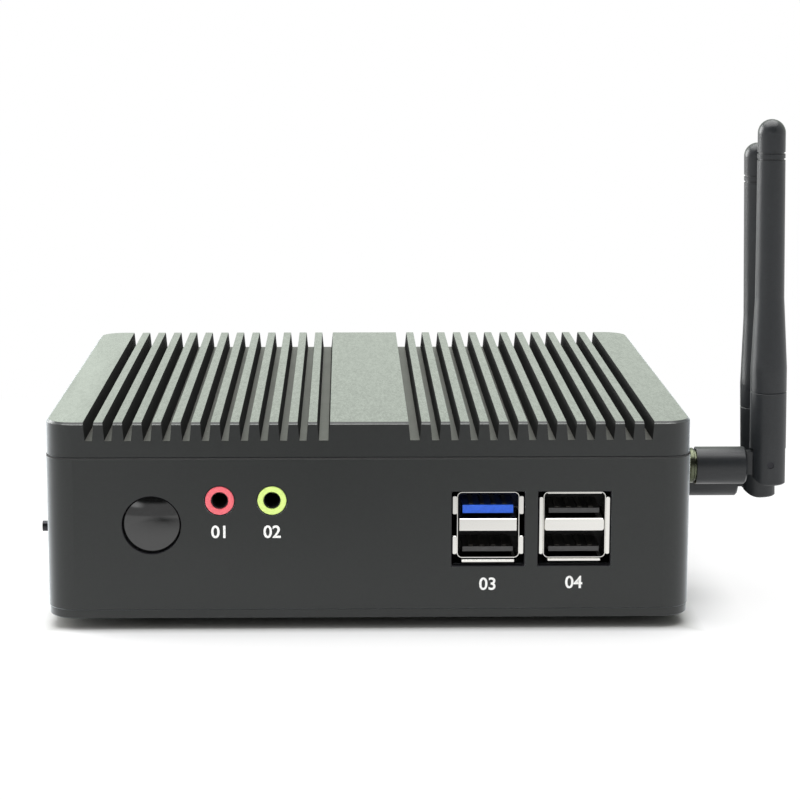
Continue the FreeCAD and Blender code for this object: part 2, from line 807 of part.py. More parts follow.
def side_stud():
    """Threaded stud pressed through the left wall from inside, with its flat head against the wall."""
    body = new_body("side_stud")
    turn_across(
        body,
        [
            ("-stud_reach - wall_thickness", "0"),
            ("-stud_reach - wall_thickness", "stud_radius"),
            ("0", "stud_radius"),
            ("0", "stud_head_radius"),
            ("stud_head_thickness", "stud_head_radius"),
            ("stud_head_thickness", "0"),
        ],
    )
    put(body, "-" + INNER_HALF_WIDTH, f"stud_setback - {HALF_DEPTH}", f"{LID_TOP} - stud_drop")


# ---- circuit board -------------------------------------------------------------------------------
def mainboard():
    body = new_body("mainboard")
    outline = sketch_on(body, "XY_Plane", BOARD_LOW)
    centred(outline, "0", "0", BOARD_WIDTH, BOARD_DEPTH)
    pad(body, outline, "board_thickness")
    hole = sketch_on(body, "XY_Plane", BOARD_TOP)
    circle(hole, "-" + BOARD_SCREW_ACROSS, "-" + BOARD_SCREW_FRONT, "board_screw_radius + screw_clearance")
    drilled = pocket(body, hole, "board_thickness")
    four_corners(body, drilled, "2 * " + BOARD_SCREW_ACROSS, BOARD_SCREW_SPREAD)


def board_standoffs():
    body = new_body("board_standoffs")
    ring = sketch_on(body, "XY_Plane", BOARD_TOP)
    for radius in ("standoff_radius", "board_screw_radius + screw_clearance"):
        circle(ring, "-" + BOARD_SCREW_ACROSS, "-" + BOARD_SCREW_FRONT, radius)
    tube = pad(body, ring, "standoff_length")
    four_corners(body, tube, "2 * " + BOARD_SCREW_ACROSS, BOARD_SCREW_SPREAD)


def board_screws():
    """Four pan-head screws, up through the board and its standoffs into the lid."""
    body = new_body("board_screws")
    length = "board_thickness + standoff_length + board_screw_grip"
    screw = turn_up(
        body,
        [
            ("0", "-board_screw_head_height"),
            ("board_screw_head_radius", "-board_screw_head_height"),
            ("board_screw_head_radius", "0"),
            ("board_screw_radius", "0"),
            ("board_screw_radius", length),
            ("0", length),
        ],
    )
    four_corners(body, screw, "2 * " + BOARD_SCREW_ACROSS, BOARD_SCREW_SPREAD)
    put(body, "-" + BOARD_SCREW_ACROSS, "-" + BOARD_SCREW_FRONT, BOARD_LOW)


def heat_path():
    """Processor, thermal pad and copper block, stacked from the board up to the lid."""
    place = ("processor_across", "processor_back")
    side = "processor_side"
    keep(block("processor", *place, BOARD_TOP, side, side, "processor_thickness"), "processor")
    pad_low = f"{BOARD_TOP} + processor_thickness"
    keep(block("thermal_pad", *place, pad_low, side, side, "pad_thickness"), "thermal_pad")
    low = f"{pad_low} + pad_thickness"
    tall = "standoff_length - processor_thickness - pad_thickness"
    keep(block("heat_block", *place, low, "heat_block_side", "heat_block_side", tall), "heat_block")


def memory():
    """Socket along the module's rear edge, with a slit that grips the module's card."""
    socket_back = "memory_back + memory_width / 2 - socket_grip + socket_width / 2"
    socket_low = f"{BOARD_LOW} - socket_thickness"
    wide = "memory_length + 2 * socket_end_wall"
    place = ("memory_across", socket_back)
    housing = block("memory_housing", *place, socket_low, wide, "socket_width", "socket_thickness")
    card_low = f"{BOARD_LOW} - memory_drop"
    middle = ("memory_across", "memory_back")
    size = ("memory_length", "memory_width", "board_thickness")
    slit = block("memory_slit", *middle, card_low, *size)
    keep(cut("memory_socket", housing, slit), "memory_socket")
    parts = [block("memory_card", *middle, card_low, *size)]
    chip_tall = "(memory_thickness - board_thickness)"
    chip_size = ("memory_chip_width", "memory_chip_depth", chip_tall)
    for step in (-1.5, -0.5, 0.5, 1.5):
        across = f"memory_across + memory_chip_pitch * {step}"
        chip_place = (across, "memory_back - memory_chip_shift", f"{card_low} - {chip_tall} / 2")
        parts.append(block(f"memory_chip_{len(parts)}", *chip_place, *chip_size))
    keep(fused("memory_module", parts), "memory_module")


def plug_in_cards():
    """Storage card and radio card, each in a slotted socket at one end and on a screw post at the other."""
    card_low = f"{BOARD_LOW} - card_drop"
    half = "(card_thickness / 2)"
    socket_low = f"{BOARD_LOW} - card_socket_height"
    socket_inset = "card_grip - card_socket_width / 2"
    post_tall = f"(card_drop - {half})"
    bore = "card_screw_radius + thread_fit"
    sockets, posts, screws = [], [], []
    layout = {
        "drive": ("drive_across", "drive_back", "drive_length", "card_width"),
        "radio": ("radio_across", "radio_back", "card_width", "radio_length"),
    }
    for name, (across, back, wide, deep) in layout.items():
        if name == "drive":
            socket_place = (f"{across} - {wide} / 2 + {socket_inset}", back)
            socket_size = ("card_socket_width", f"{deep} + 2 * socket_end_wall")
            free_end = (f"{across} + {wide} / 2 - card_post_radius", back)
        else:
            socket_place = (across, f"{back} + {deep} / 2 - ({socket_inset})")
            socket_size = (f"{wide} + 2 * socket_end_wall", "card_socket_width")
            free_end = (across, f"{back} - {deep} / 2 + card_post_radius")
        shell = block(f"{name}_socket_shell", *socket_place, socket_low, *socket_size, "card_socket_height")
        slit = block(f"{name}_slit", across, back, card_low, wide, deep, half)
        sockets.append(cut(f"{name}_socket", shell, slit))

        chip_size = (f"{wide} * card_chip_share", f"{deep} * card_chip_share", half)
        board = block(f"{name}_card_board", across, back, card_low, wide, deep, half)
        chip = block(f"{name}_chip", across, back, f"{card_low} - {half}", *chip_size)
        hole_size = ("card_screw_radius + screw_clearance", "card_thickness + 2 * cut_over")
        hole = cylinder(f"{name}_hole", *free_end, f"{card_low} - cut_over", *hole_size)
        keep(cut(f"{name}_drilled", fused(f"{name}_whole", [board, chip]), hole), f"{name}_card")

        post_low = f"{card_low} + {half}"
        post = cylinder(f"{name}_post_body", *free_end, post_low, "card_post_radius", post_tall)
        post_bore = cylinder(f"{name}_post_bore", *free_end, post_low, bore, f"{post_tall} - {half}")
        posts.append(cut(f"{name}_post", post, post_bore))

        head_low = f"{card_low} - card_screw_head_height"
        head_size = ("card_screw_head_radius", "card_screw_head_height")
        head = cylinder(f"{name}_screw_head", *free_end, head_low, *head_size)
        shank_tall = f"{post_tall} - card_screw_end_gap"
        shank = cylinder(f"{name}_screw_shank", *free_end, card_low, "card_screw_radius", shank_tall)
        screws.append(fused(f"{name}_screw", [head, shank]))
    gathered("card_sockets", sockets)
    gathered("card_posts", posts)
    gathered("card_screws", screws)


def clock_cell():
    """Coin cell in a cup-shaped holder under the board."""
    place = ("cell_across", "cell_back")
    holder_tall = "(cell_holder_floor + cell_thickness - cell_exposed)"
    holder_size = ("cell_radius + cell_holder_wall", holder_tall)
    cup = cylinder("cell_cup", *place, f"{BOARD_LOW} - {holder_tall}", *holder_size)
    cell_low = f"{BOARD_LOW} - cell_holder_floor - cell_thickness"
    hollow = cylinder("cell_hollow", *place, cell_low, "cell_radius + port_gap", "cell_thickness")
    keep(cut("cell_holder", cup, hollow), "cell_holder")
    keep(cylinder("coin_cell", *place, cell_low, "cell_radius", "cell_thickness"), "coin_cell")


def coils_and_capacitors():
    coils = new_body("coils")
    outline = sketch_on(coils, "XY_Plane", BOARD_LOW)
    centred(outline, "coil_across", "coil_back", "coil_side", "coil_side")
    coil = pad(coils, outline, "coil_height", backwards=True)
    transform(coils, coil, [row_along(coils, "X_Axis", "coil_pitch * (coil_count - 1)", "coil_count")])
    cans = new_body("capacitors")
    ring = sketch_on(cans, "XY_Plane", BOARD_LOW)
    circle(ring, "capacitor_across", "coil_back", "capacitor_radius")
    can = pad(cans, ring, "capacitor_height", backwards=True)
    length = "capacitor_pitch * (capacitor_count - 1)"
    transform(cans, can, [row_along(cans, "X_Axis", length, "capacitor_count")])


# ---- front panel ---------------------------------------------------------------------------------
def usb_shell(name, split_lips):
    """Folded metal shell of a two-storey socket, with bent lips round its mouth and tabs up to the board."""
    body = new_body(f"usb_{name}_shell")
    across = f"usb_{name}_across"
    mouth = sketch_on(body, "XZ_Plane", PORT_FRONT)
    low = f"({USB_LOWER_LOW} - sheet_thickness)"
    wide = "usb_opening_width + 2 * sheet_thickness"
    tall = f"({USB_HIGH} - {USB_LOWER_LOW} + 2 * sheet_thickness)"
    rectangle(mouth, f"{across} - ({wide}) / 2", low, f"({wide})", tall)
    pad(body, mouth, "usb_depth", backwards=True)

    lips = sketch_on(body, "XZ_Plane", PORT_FRONT)
    outer = f"({across} - ({wide}) / 2 - usb_lip)"
    inner_right = f"({across} + ({wide}) / 2)"
    if split_lips:
        lows = (f"({USB_UPPER_LOW} + usb_side_lip_lift)", f"({USB_LOWER_LOW} + usb_side_lip_lift)")
        spans = [(start, "usb_side_lip_height") for start in lows]
    else:
        full_low = f"({USB_LOWER_LOW} + usb_full_lip_lift)"
        spans = [(full_low, f"({USB_HIGH} - usb_full_lip_drop - {full_low})")]
    for start, high in spans:
        rectangle(lips, outer, start, "usb_lip", high)
        rectangle(lips, inner_right, start, "usb_lip", high)
    rectangle(lips, f"{across} - tongue_width / 2", f"{low} - usb_lip", "tongue_width", "usb_lip")
    pad(body, lips, "sheet_thickness", backwards=True)

    openings = sketch_on(body, "XZ_Plane", PORT_FRONT)
    left = f"{across} - usb_opening_width / 2"
    for start in (USB_UPPER_LOW, USB_LOWER_LOW):
        rectangle(openings, left, start, "usb_opening_width", "usb_opening_height")
    pocket(body, openings, "usb_depth - sheet_thickness")

    tabs = sketch_on(body, "XY_Plane", f"{USB_HIGH} + sheet_thickness")
    for edge in (f"{across} - ({wide}) / 2", f"{across} + usb_opening_width / 2"):
        for back in ("usb_front_tab_back", "usb_rear_tab_back"):
            rectangle(tabs, edge, f"{back} - {PORT_FRONT}", "sheet_thickness", "usb_tab_width")
    pad(body, tabs, "usb_drop - sheet_thickness")


def usb_insert(label, across, opening_low, thickness="tongue_thickness"):
    """Moulded block at the back of one opening, with the contact tongue reaching forward from it."""
    rear = f"(usb_depth - sheet_thickness - {PORT_FRONT})"
    front = f"(tongue_setback - {PORT_FRONT})"
    plug_place = (across, f"{rear} - insert_depth / 2", opening_low)
    plug = block(label + "_plug", *plug_place, "usb_opening_width", "insert_depth", "usb_opening_height")
    length = f"({rear} - {front})"
    tongue_place = (across, f"{front} + {length} / 2", f"{opening_low} + tongue_lift")
    tongue = block(label + "_tongue", *tongue_place, "tongue_width", length, thickness)
    return fused(label, [plug, tongue])


def usb_contacts():
    """Four flat springs on top of every tongue."""
    strips = []
    for across in ("usb_left_across", "usb_right_across"):
        for storey in (USB_UPPER_LOW, USB_LOWER_LOW):
            blue = across == "usb_left_across" and storey == USB_UPPER_LOW
            thickness = "blue_tongue_thickness" if blue else "tongue_thickness"
            for step in (-1.5, -0.5, 0.5, 1.5):
                back = f"tongue_setback + contact_setback + contact_length / 2 - {PORT_FRONT}"
                low = f"{storey} + tongue_lift + {thickness}"
                place = (f"{across} + contact_pitch * {step}", back, low)
                name = f"contact_{len(strips) + 1}"
                strips.append(block(name, *place, "contact_width", "contact_length", "contact_thickness"))
    gathered("usb_contacts", strips)


def usb_stacks():
    usb_shell("left", split_lips=True)
    usb_shell("right", split_lips=False)
    blue = usb_insert("usb_left_upper_insert", "usb_left_across", USB_UPPER_LOW, "blue_tongue_thickness")
    keep(blue, "usb_left_upper_insert")
    keep(usb_insert("usb_left_lower_insert", "usb_left_across", USB_LOWER_LOW), "usb_left_lower_insert")
    gathered(
        "usb_right_inserts",
        [
            usb_insert("right_upper_insert", "usb_right_across", USB_UPPER_LOW),
            usb_insert("right_lower_insert", "usb_right_across", USB_LOWER_LOW),
        ],
    )
    usb_contacts()


def audio_jack(name):
    """Coloured socket in one moulding: a ring flush with the panel, and a block behind it on the board."""
    body = new_body(f"{name}_jack")
    across = f"{name}_across"
    ring = sketch_on(body, "XZ_Plane", HALF_DEPTH)
    circle(ring, across, JACK_HEIGHT, "jack_ring_radius")
    pad(body, ring, "wall_thickness + board_end_gap", backwards=True)
    housing = sketch_on(body, "XZ_Plane", f"({INNER_HALF_DEPTH} - board_end_gap)")
    left = f"{across} - jack_width / 2"
    rectangle(housing, left, f"{BOARD_LOW} - jack_height", "jack_width", "jack_height")
    pad(body, housing, "jack_length", backwards=True)
    bore = sketch_on(body, "XZ_Plane", HALF_DEPTH)
    circle(bore, across, JACK_HEIGHT, "jack_bore_radius")
    pocket(body, bore, "jack_bore_depth")


def power_button():
    """Round cap, flush with the panel, held in by a flange behind the wall, with a plunger to the switch."""
    body = new_body("power_button")
    flange_back = "(wall_thickness + button_flange_thickness)"
    plunger_end = "(wall_thickness + switch_post_length - switch_height - actuator_height - press_gap)"
    turn_back(
        body,
        [
            ("0", "button_dish"),
            ("button_radius * button_dish_share", "button_dish * button_dish_share"),
            ("button_radius - button_edge", "0"),
            ("button_radius", "button_edge"),
            ("button_radius", "wall_thickness"),
            ("button_flange_radius", "wall_thickness"),
            ("button_flange_radius", flange_back),
            ("plunger_radius", flange_back),
            ("plunger_radius", plunger_end),
            ("0", plunger_end),
        ],
    )
    put(body, "button_across", "-" + HALF_DEPTH, "button_height")


def power_switch():
    """Small board on two posts, with the switch on its front face, two screws and the return spring."""
    board = new_body("switch_board")
    outline = sketch_on(board, "XZ_Plane", SWITCH_BOARD_FRONT)
    board_left = "button_across - switch_board_width / 2"
    board_low = f"{SWITCH_POST_HEIGHT} - switch_board_drop"
    rectangle(outline, board_left, board_low, "switch_board_width", "switch_board_height")
    for side in ("-", "+"):
        across = f"button_across {side} switch_post_spread"
        circle(outline, across, SWITCH_POST_HEIGHT, "switch_screw_radius + screw_clearance")
    pad(board, outline, "switch_board_thickness", backwards=True)

    switch = new_body("power_switch")
    housing = sketch_on(switch, "XZ_Plane", SWITCH_BOARD_FRONT)
    centred(housing, "button_across", "button_height", "switch_side", "switch_side")
    pad(switch, housing, "switch_height")
    top = sketch_on(switch, "XZ_Plane", f"({SWITCH_BOARD_FRONT} + switch_height)")
    circle(top, "button_across", "button_height", "actuator_radius")
    pad(switch, top, "actuator_height")

    screws = new_body("switch_screws")
    screw = turn_back(
        screws,
        [
            ("0", "switch_screw_head_height"),
            ("switch_screw_head_radius", "switch_screw_head_height"),
            ("switch_screw_head_radius", "0"),
            ("switch_screw_radius", "0"),
            ("switch_screw_radius", "-switch_screw_length"),
            ("0", "-switch_screw_length"),
        ],
    )
    transform(screws, screw, [row_along(screws, "X_Axis", "2 * switch_post_spread", "2")])
    screw_back = f"switch_board_thickness - {SWITCH_BOARD_FRONT}"
    put(screws, "button_across - switch_post_spread", screw_back, SWITCH_POST_HEIGHT)


def button_spring():
    """Coil with closed ends on the switch board, as long as it is with the button pressed.

    Each half turn is half a ring, tilted so that it meets the next one on the same line. The first and the
    last turn rise by little more than the wire.
    """
    room = "(switch_post_length - button_flange_thickness - press_gap - spring_end_gap)"
    closed = "(spring_wire_radius + spring_closing_gap / 2)"
    open_step = f"(({room} - 2 * spring_wire_radius - 4 * {closed}) / (2 * spring_turns))"
    steps = [closed] * 2 + [open_step] * (2 * SIZES["spring_turns"]) + [closed] * 2
    back = f"(wall_thickness + switch_post_length - {HALF_DEPTH} - spring_wire_radius)"
    halves = []
    for index, step in enumerate(steps):
        half = document.addObject("Part::Torus", "spring_half_turn")
        half.Angle3 = 180
        bind(half, "Radius1", f"sqrt(pow(spring_radius; 2) + pow({step} / 2; 2))")
        bind(half, "Radius2", "spring_wire_radius")
        place = f"create(<<vector>>; button_across; {back} - {step} / 2; button_height)"
        tilt = f"atan({step} / (2 * spring_radius))"
        yaw, roll = (f"180 deg - {tilt}", "-90 deg") if index % 2 else (tilt, "90 deg")
        bind(half, "Placement", f"create(<<placement>>; {place}; create(<<rotation>>; {yaw}; 0 deg; {roll}))")
        halves.append(half)
        back = f"({back} - {step})"
    keep(fused("button_spring", halves), "button_spring")


# ---- rear panel ----------------------------------------------------------------------------------
def power_inlet():
    """Barrel socket with a round nose in the wall, and its centre pin as a separate turned piece."""
    body = new_body("power_inlet")
    middle = f"({BOARD_LOW} - inlet_height / 2)"
    nose = sketch_on(body, "XZ_Plane", "-" + HALF_DEPTH)
    circle(nose, "inlet_across", middle, "inlet_nose_radius")
    pad(body, nose, "wall_thickness + board_end_gap")
    housing = sketch_on(body, "XZ_Plane", f"-({INNER_HALF_DEPTH} - board_end_gap)")
    centred(housing, "inlet_across", middle, "inlet_width", "inlet_height")
    pad(body, housing, "inlet_length")
    bore = sketch_on(body, "XZ_Plane", "-" + HALF_DEPTH)
    circle(bore, "inlet_across", middle, "inlet_bore_radius")
    pocket(body, bore, "inlet_bore_depth", backwards=True)
    seat = sketch_on(body, "XZ_Plane", f"-({HALF_DEPTH} - inlet_bore_depth)")
    circle(seat, "inlet_across", middle, "inlet_pin_radius")
    pocket(body, seat, "inlet_pin_seat", backwards=True)

    pin = new_body("power_inlet_pin")
    pin_end = "-(inlet_bore_depth + inlet_pin_seat - inlet_pin_setback)"
    turn_back(
        pin,
        [
            ("0", "0"),
            ("inlet_pin_radius - inlet_pin_bevel", "0"),
            ("inlet_pin_radius", "-inlet_pin_bevel"),
            ("inlet_pin_radius", pin_end),
            ("0", pin_end),
        ],
    )
    put(pin, "inlet_across", f"{HALF_DEPTH} - inlet_pin_setback", middle)


def wide_video_socket():
    """Flanged metal shell round a moulded block of sockets, fixed by two hexagonal jackscrews."""
    across = "wide_video_across"
    middle = f"({BOARD_LOW} - wide_video_height / 2)"
    screw_places = [f"{across} {side} wide_video_screw_spread / 2" for side in ("-", "+")]
    shell = new_body("wide_video_shell")
    flange = sketch_on(shell, "XZ_Plane", f"-{INNER_HALF_DEPTH}")
    centred(flange, across, middle, "wide_video_width", "wide_video_height")
    for place in screw_places:
        circle(flange, place, middle, "jackscrew_bore_radius + screw_clearance")
    pad(shell, flange, "wide_video_plate")
    collar = sketch_on(shell, "XZ_Plane", f"-{INNER_HALF_DEPTH}")
    centred(collar, across, middle, "wide_video_shell_width", "wide_video_shell_height")
    pad(shell, collar, "wide_video_reach", backwards=True)
    hollow = sketch_on(shell, "XZ_Plane", f"-({INNER_HALF_DEPTH} + wide_video_reach)")
    inner_wide = "(wide_video_shell_width - 2 * sheet_thickness)"
    inner_high = "(wide_video_shell_height - 2 * sheet_thickness)"
    centred(hollow, across, middle, inner_wide, inner_high)
    pocket(shell, hollow, "wide_video_reach + wide_video_plate", backwards=True)

    plate_rear = f"({INNER_HALF_DEPTH} - wide_video_plate)"
    nose_place = (across, f"{plate_rear} + wide_video_nose_reach / 2", f"{middle} - {inner_high} / 2")
    nose = block("video_nose", *nose_place, inner_wide, "wide_video_nose_reach", inner_high)
    base_place = (across, f"{plate_rear} - wide_video_length / 2", f"{middle} - wide_video_height / 2")
    base_wide = "wide_video_width * wide_video_base_share"
    base = block("video_base", *base_place, base_wide, "wide_video_length", "wide_video_height")
    keep(fused("wide_video_insert", [nose, base]), "wide_video_insert")

    towards_rear = FreeCAD.Placement(Vector(), FreeCAD.Rotation(Vector(1, 0, 0), -90))
    screws = []
    for place in screw_places:
        hexagon = document.addObject("Part::Prism", "jackscrew_hexagon")
        hexagon.Polygon = 6
        bind(hexagon, "Circumradius", "jackscrew_radius")
        bind(hexagon, "Height", "wall_thickness + jackscrew_reach")
        hexagon.Placement = towards_rear
        put(hexagon, place, INNER_HALF_DEPTH, middle)
        shank = document.addObject("Part::Cylinder", "jackscrew_shank")
        bind(shank, "Radius", "jackscrew_bore_radius")
        bind(shank, "Height", "jackscrew_shank")
        shank.Placement = towards_rear
        put(shank, place, f"{INNER_HALF_DEPTH} - jackscrew_shank", middle)
        screws.append(fused("jackscrew", [hexagon, shank]))
    gathered("jackscrews", screws)


def small_video_socket():
    """Low metal shell with a bare plastic tongue in its mouth."""
    across = "small_video_across"
    middle = f"({BOARD_LOW} - small_video_height / 2)"
    back = f"({HALF_DEPTH} - port_setback)"
    inner_wide = "(small_video_width - 2 * sheet_thickness)"
    inner_high = "(small_video_height - 2 * sheet_thickness)"
    shell = new_body("small_video_shell")
    mouth = sketch_on(shell, "XZ_Plane", "-" + back)
    centred(mouth, across, middle, "small_video_width", "small_video_height")
    pad(shell, mouth, "small_video_length")
    hollow = sketch_on(shell, "XZ_Plane", "-" + back)
    centred(hollow, across, middle, inner_wide, inner_high)
    pocket(shell, hollow, "small_video_length - sheet_thickness", backwards=True)

    floor = f"({back} - small_video_length + sheet_thickness)"
    plug_place = (across, f"{floor} + small_video_plug_depth / 2", f"{middle} - {inner_high} / 2")
    plug = block("small_video_plug", *plug_place, inner_wide, "small_video_plug_depth", inner_high)
    tongue_long = "(small_video_length - small_tongue_setback)"
    tongue_place = (across, f"{floor} + {tongue_long} / 2", f"{middle} - small_tongue_thickness / 2")
    tongue = block("small_video_tongue", *tongue_place, "tongue_width", tongue_long, "small_tongue_thickness")
    keep(fused("small_video_insert", [plug, tongue]), "small_video_insert")


def lan_jack(name):
    """Shielded network socket: one housing with a stepped opening and a latch notch."""
    body = new_body(f"lan_{name}_jack")
    across = f"lan_{name}_across"
    back = f"({HALF_DEPTH} - port_setback)"
    outline = sketch_on(body, "XZ_Plane", "-" + back)
    centred(outline, across, f"{BOARD_LOW} - lan_height / 2", "lan_width", "lan_height")
    pad(body, outline, "lan_length")
    opening = sketch_on(body, "XZ_Plane", "-" + back)
    opening_low = f"{BOARD_LOW} - lan_opening_drop - lan_opening_height"
    left = f"{across} - lan_opening_width / 2"
    rectangle(opening, left, opening_low, "lan_opening_width", "lan_opening_height")
    pocket(body, opening, "lan_opening_depth", backwards=True)
    latch = sketch_on(body, "XZ_Plane", "-" + back)
    latch_tall = "lan_latch_drop + lan_latch_over"
    latch_low = f"{opening_low} - lan_latch_drop"
    rectangle(latch, f"{across} - lan_opening_width / 4", latch_low, "lan_opening_width / 2", latch_tall)
    pocket(body, latch, "lan_opening_depth - lan_latch_short", backwards=True)


def lan_contacts():
    """Eight spring wires at the top of each network socket's opening."""
    wires = []
    for across in ("lan_left_across", "lan_right_across"):
        for index in range(8):
            low = f"{BOARD_LOW} - lan_opening_drop - lan_wire_side"
            back = f"{HALF_DEPTH} - port_setback - lan_opening_depth + lan_wire_length / 2"
            place = (f"{across} + lan_wire_pitch * {index - 3.5}", back, low)
            size = ("lan_wire_side", "lan_wire_length", "lan_wire_side")
            wires.append(block(f"lan_wire_{len(wires) + 1}", *place, *size))
    gathered("lan_contacts", wires)


# ---- aerials -------------------------------------------------------------------------------------
def aerial_jack(place):
    """Turned jack through the right wall: inner flange, threaded barrel outside and a tail for the lead."""
    jack = document.addObject("PartDesign::Body", f"{place}_aerial_jack")
    flange_inner = "-wall_thickness - jack_flange_thickness"
    tail_end = flange_inner + " - jack_tail_length"
    turn_across(
        jack,
        [
            (tail_end, "0"),
            (tail_end, "jack_tail_radius"),
            (flange_inner, "jack_tail_radius"),
            (flange_inner, "jack_flange_radius"),
            ("-wall_thickness", "jack_flange_radius"),
            ("-wall_thickness", "barrel_radius"),
            ("barrel_reach", "barrel_radius"),
            ("barrel_reach", "barrel_bore_radius"),
            ("barrel_reach - barrel_bore_depth", "barrel_bore_radius"),
            ("barrel_reach - barrel_bore_depth", "0"),
        ],
    )
    return aerial_place(jack, place, HALF_WIDTH)


def aerial_place(thing, place, across, rise="0"):
    return put(thing, across, f"{place}_aerial_setback - {HALF_DEPTH}", f"{place}_aerial_height + {rise}")


def pivot_across(place):
    return f"{place}_collar_across + collar_width + swivel_gap + pivot_setoff"


def aerial_nut(place):
    """Six-sided nut that clamps the jack to the wall."""
    nut = document.addObject("PartDesign::Body", f"{place}_aerial_nut")
    face = sketch_on(nut, "YZ_Plane")
    half = "jack_nut_radius"
    side = "(jack_nut_radius * tan(30 deg))"
    point = "(jack_nut_radius / cos(30 deg))"
    lower = [(f"-{half}", f"-{side}"), ("0", f"-{point}"), (half, f"-{side}")]
    upper = [(half, side), ("0", point), (f"-{half}", side)]
    polygon(face, lower + upper)
    circle(face, "0", "0", "barrel_radius + thread_fit")
    pad(nut, face, "jack_nut_thickness")
    return aerial_place(nut, place, HALF_WIDTH)


def aerial_collar(place):
    """Brass coupling ring screwed on the barrel, with a thin hub that the sleeve turns on."""
    collar = document.addObject("PartDesign::Body", f"{place}_aerial_collar")
    end = "collar_width + collar_hub_length"
    turn_across(
        collar,
        [
            ("0", "collar_bore_radius"),
            ("0", "collar_radius"),
            ("collar_width", "collar_radius"),
            ("collar_width", "collar_hub_radius"),
            (end, "collar_hub_radius"),
            (end, "collar_bore_radius"),
        ],
    )
    return aerial_place(collar, place, f"{place}_collar_across")


def aerial_sleeve(place):
    """Moulded sleeve that turns on the collar's hub and ends in the round-nosed tongue of the hinge."""
    body = new_body(f"{place}_aerial_sleeve")
    start = "(-pivot_setoff)"
    socket = "(collar_hub_length + swivel_gap)"
    bore = "(collar_hub_radius + sleeve_fit)"
    turn_across(
        body,
        [
            (start, bore),
            (start, "sleeve_radius"),
            (f"{start} + sleeve_length - sleeve_bevel", "sleeve_radius"),
            (f"{start} + sleeve_length", "sleeve_radius - sleeve_bevel"),
            (f"{start} + sleeve_length", "0"),
            (f"{start} + {socket}", "0"),
            (f"{start} + {socket}", bore),
        ],
    )
    nose = sketch_on(body, "XZ_Plane", "-knuckle_thickness / 2")
    root = f"{start} + sleeve_length - tongue_root"
    rectangle(nose, root, "pivot_rise - tongue_radius", f"(0 - ({root}))", "2 * tongue_radius")
    pad(body, nose, "knuckle_thickness")
    tip = sketch_on(body, "XZ_Plane", "-knuckle_thickness / 2")
    circle(tip, "0", "pivot_rise", "tongue_radius")
    pad(body, tip, "knuckle_thickness")
    hole = sketch_on(body, "XZ_Plane", "knuckle_thickness / 2")
    circle(hole, "0", "pivot_rise", "hinge_pin_radius + hinge_pin_fit")
    pocket(body, hole, "knuckle_thickness")
    return aerial_place(body, place, pivot_across(place))


def aerial_rod(place):
    """Tapered rod with a domed tip and two ring grooves, on a forked foot with one corner cut round."""
    body = new_body(f"{place}_aerial_rod")
    groove_low = "ring_groove_place - ring_groove_width / 2"
    upper_low = f"{groove_low} + ring_groove_pitch"
    turned = turn_up(
        body,
        [
            ("0", "-rod_drop"),
            ("rod_foot_radius - rod_foot_bevel", "-rod_drop"),
            ("rod_foot_radius", "-rod_drop + rod_foot_bevel"),
            ("rod_foot_radius", "rod_step - rod_step_depth"),
            ("rod_foot_radius - rod_step_depth", "rod_step"),
            ("rod_foot_radius", "rod_step + rod_step_depth"),
            ("rod_foot_radius", "taper_start"),
            ("rod_waist_radius", "taper_end"),
            ("rod_tip_radius", groove_low),
            ("rod_tip_radius - ring_groove_depth", groove_low),
            ("rod_tip_radius - ring_groove_depth", f"{groove_low} + ring_groove_width"),
            ("rod_tip_radius", f"{groove_low} + ring_groove_width"),
            ("rod_tip_radius", upper_low),
            ("rod_tip_radius - ring_groove_depth", upper_low),
            ("rod_tip_radius - ring_groove_depth", f"{upper_low} + ring_groove_width"),
            ("rod_tip_radius", f"{upper_low} + ring_groove_width"),
            ("rod_tip_radius", "rod_reach"),
            ("0", "rod_reach"),
        ],
    )
    fillet(body, turned, level_at(SIZES["rod_reach"]), "rod_tip_radius - rod_tip_flat")
    outside = "(rod_foot_radius + cut_over)"
    through = "2 * " + outside
    slot = sketch_on(body, "YZ_Plane", outside)
    wide = "(knuckle_thickness + 2 * knuckle_gap)"
    rectangle(slot, f"-{wide} / 2", "-rod_drop - cut_over", wide, "(rod_drop + cut_over + fork_depth)")
    pocket(body, slot, through)
    hole = sketch_on(body, "XZ_Plane", outside)
    circle(hole, "0", "0", "hinge_pin_radius + thread_fit")
    pocket(body, hole, through)
    corner = sketch_on(body, "XZ_Plane", outside)
    round_corner(corner)
    pocket(body, corner, through)
    body.Placement = FreeCAD.Placement(Vector(), FreeCAD.Rotation(Vector(0, -1, 0), 1))
    bind(body, "Placement.Rotation.Angle", f"{place}_rod_lean")
    return aerial_place(body, place, pivot_across(place), "pivot_rise")


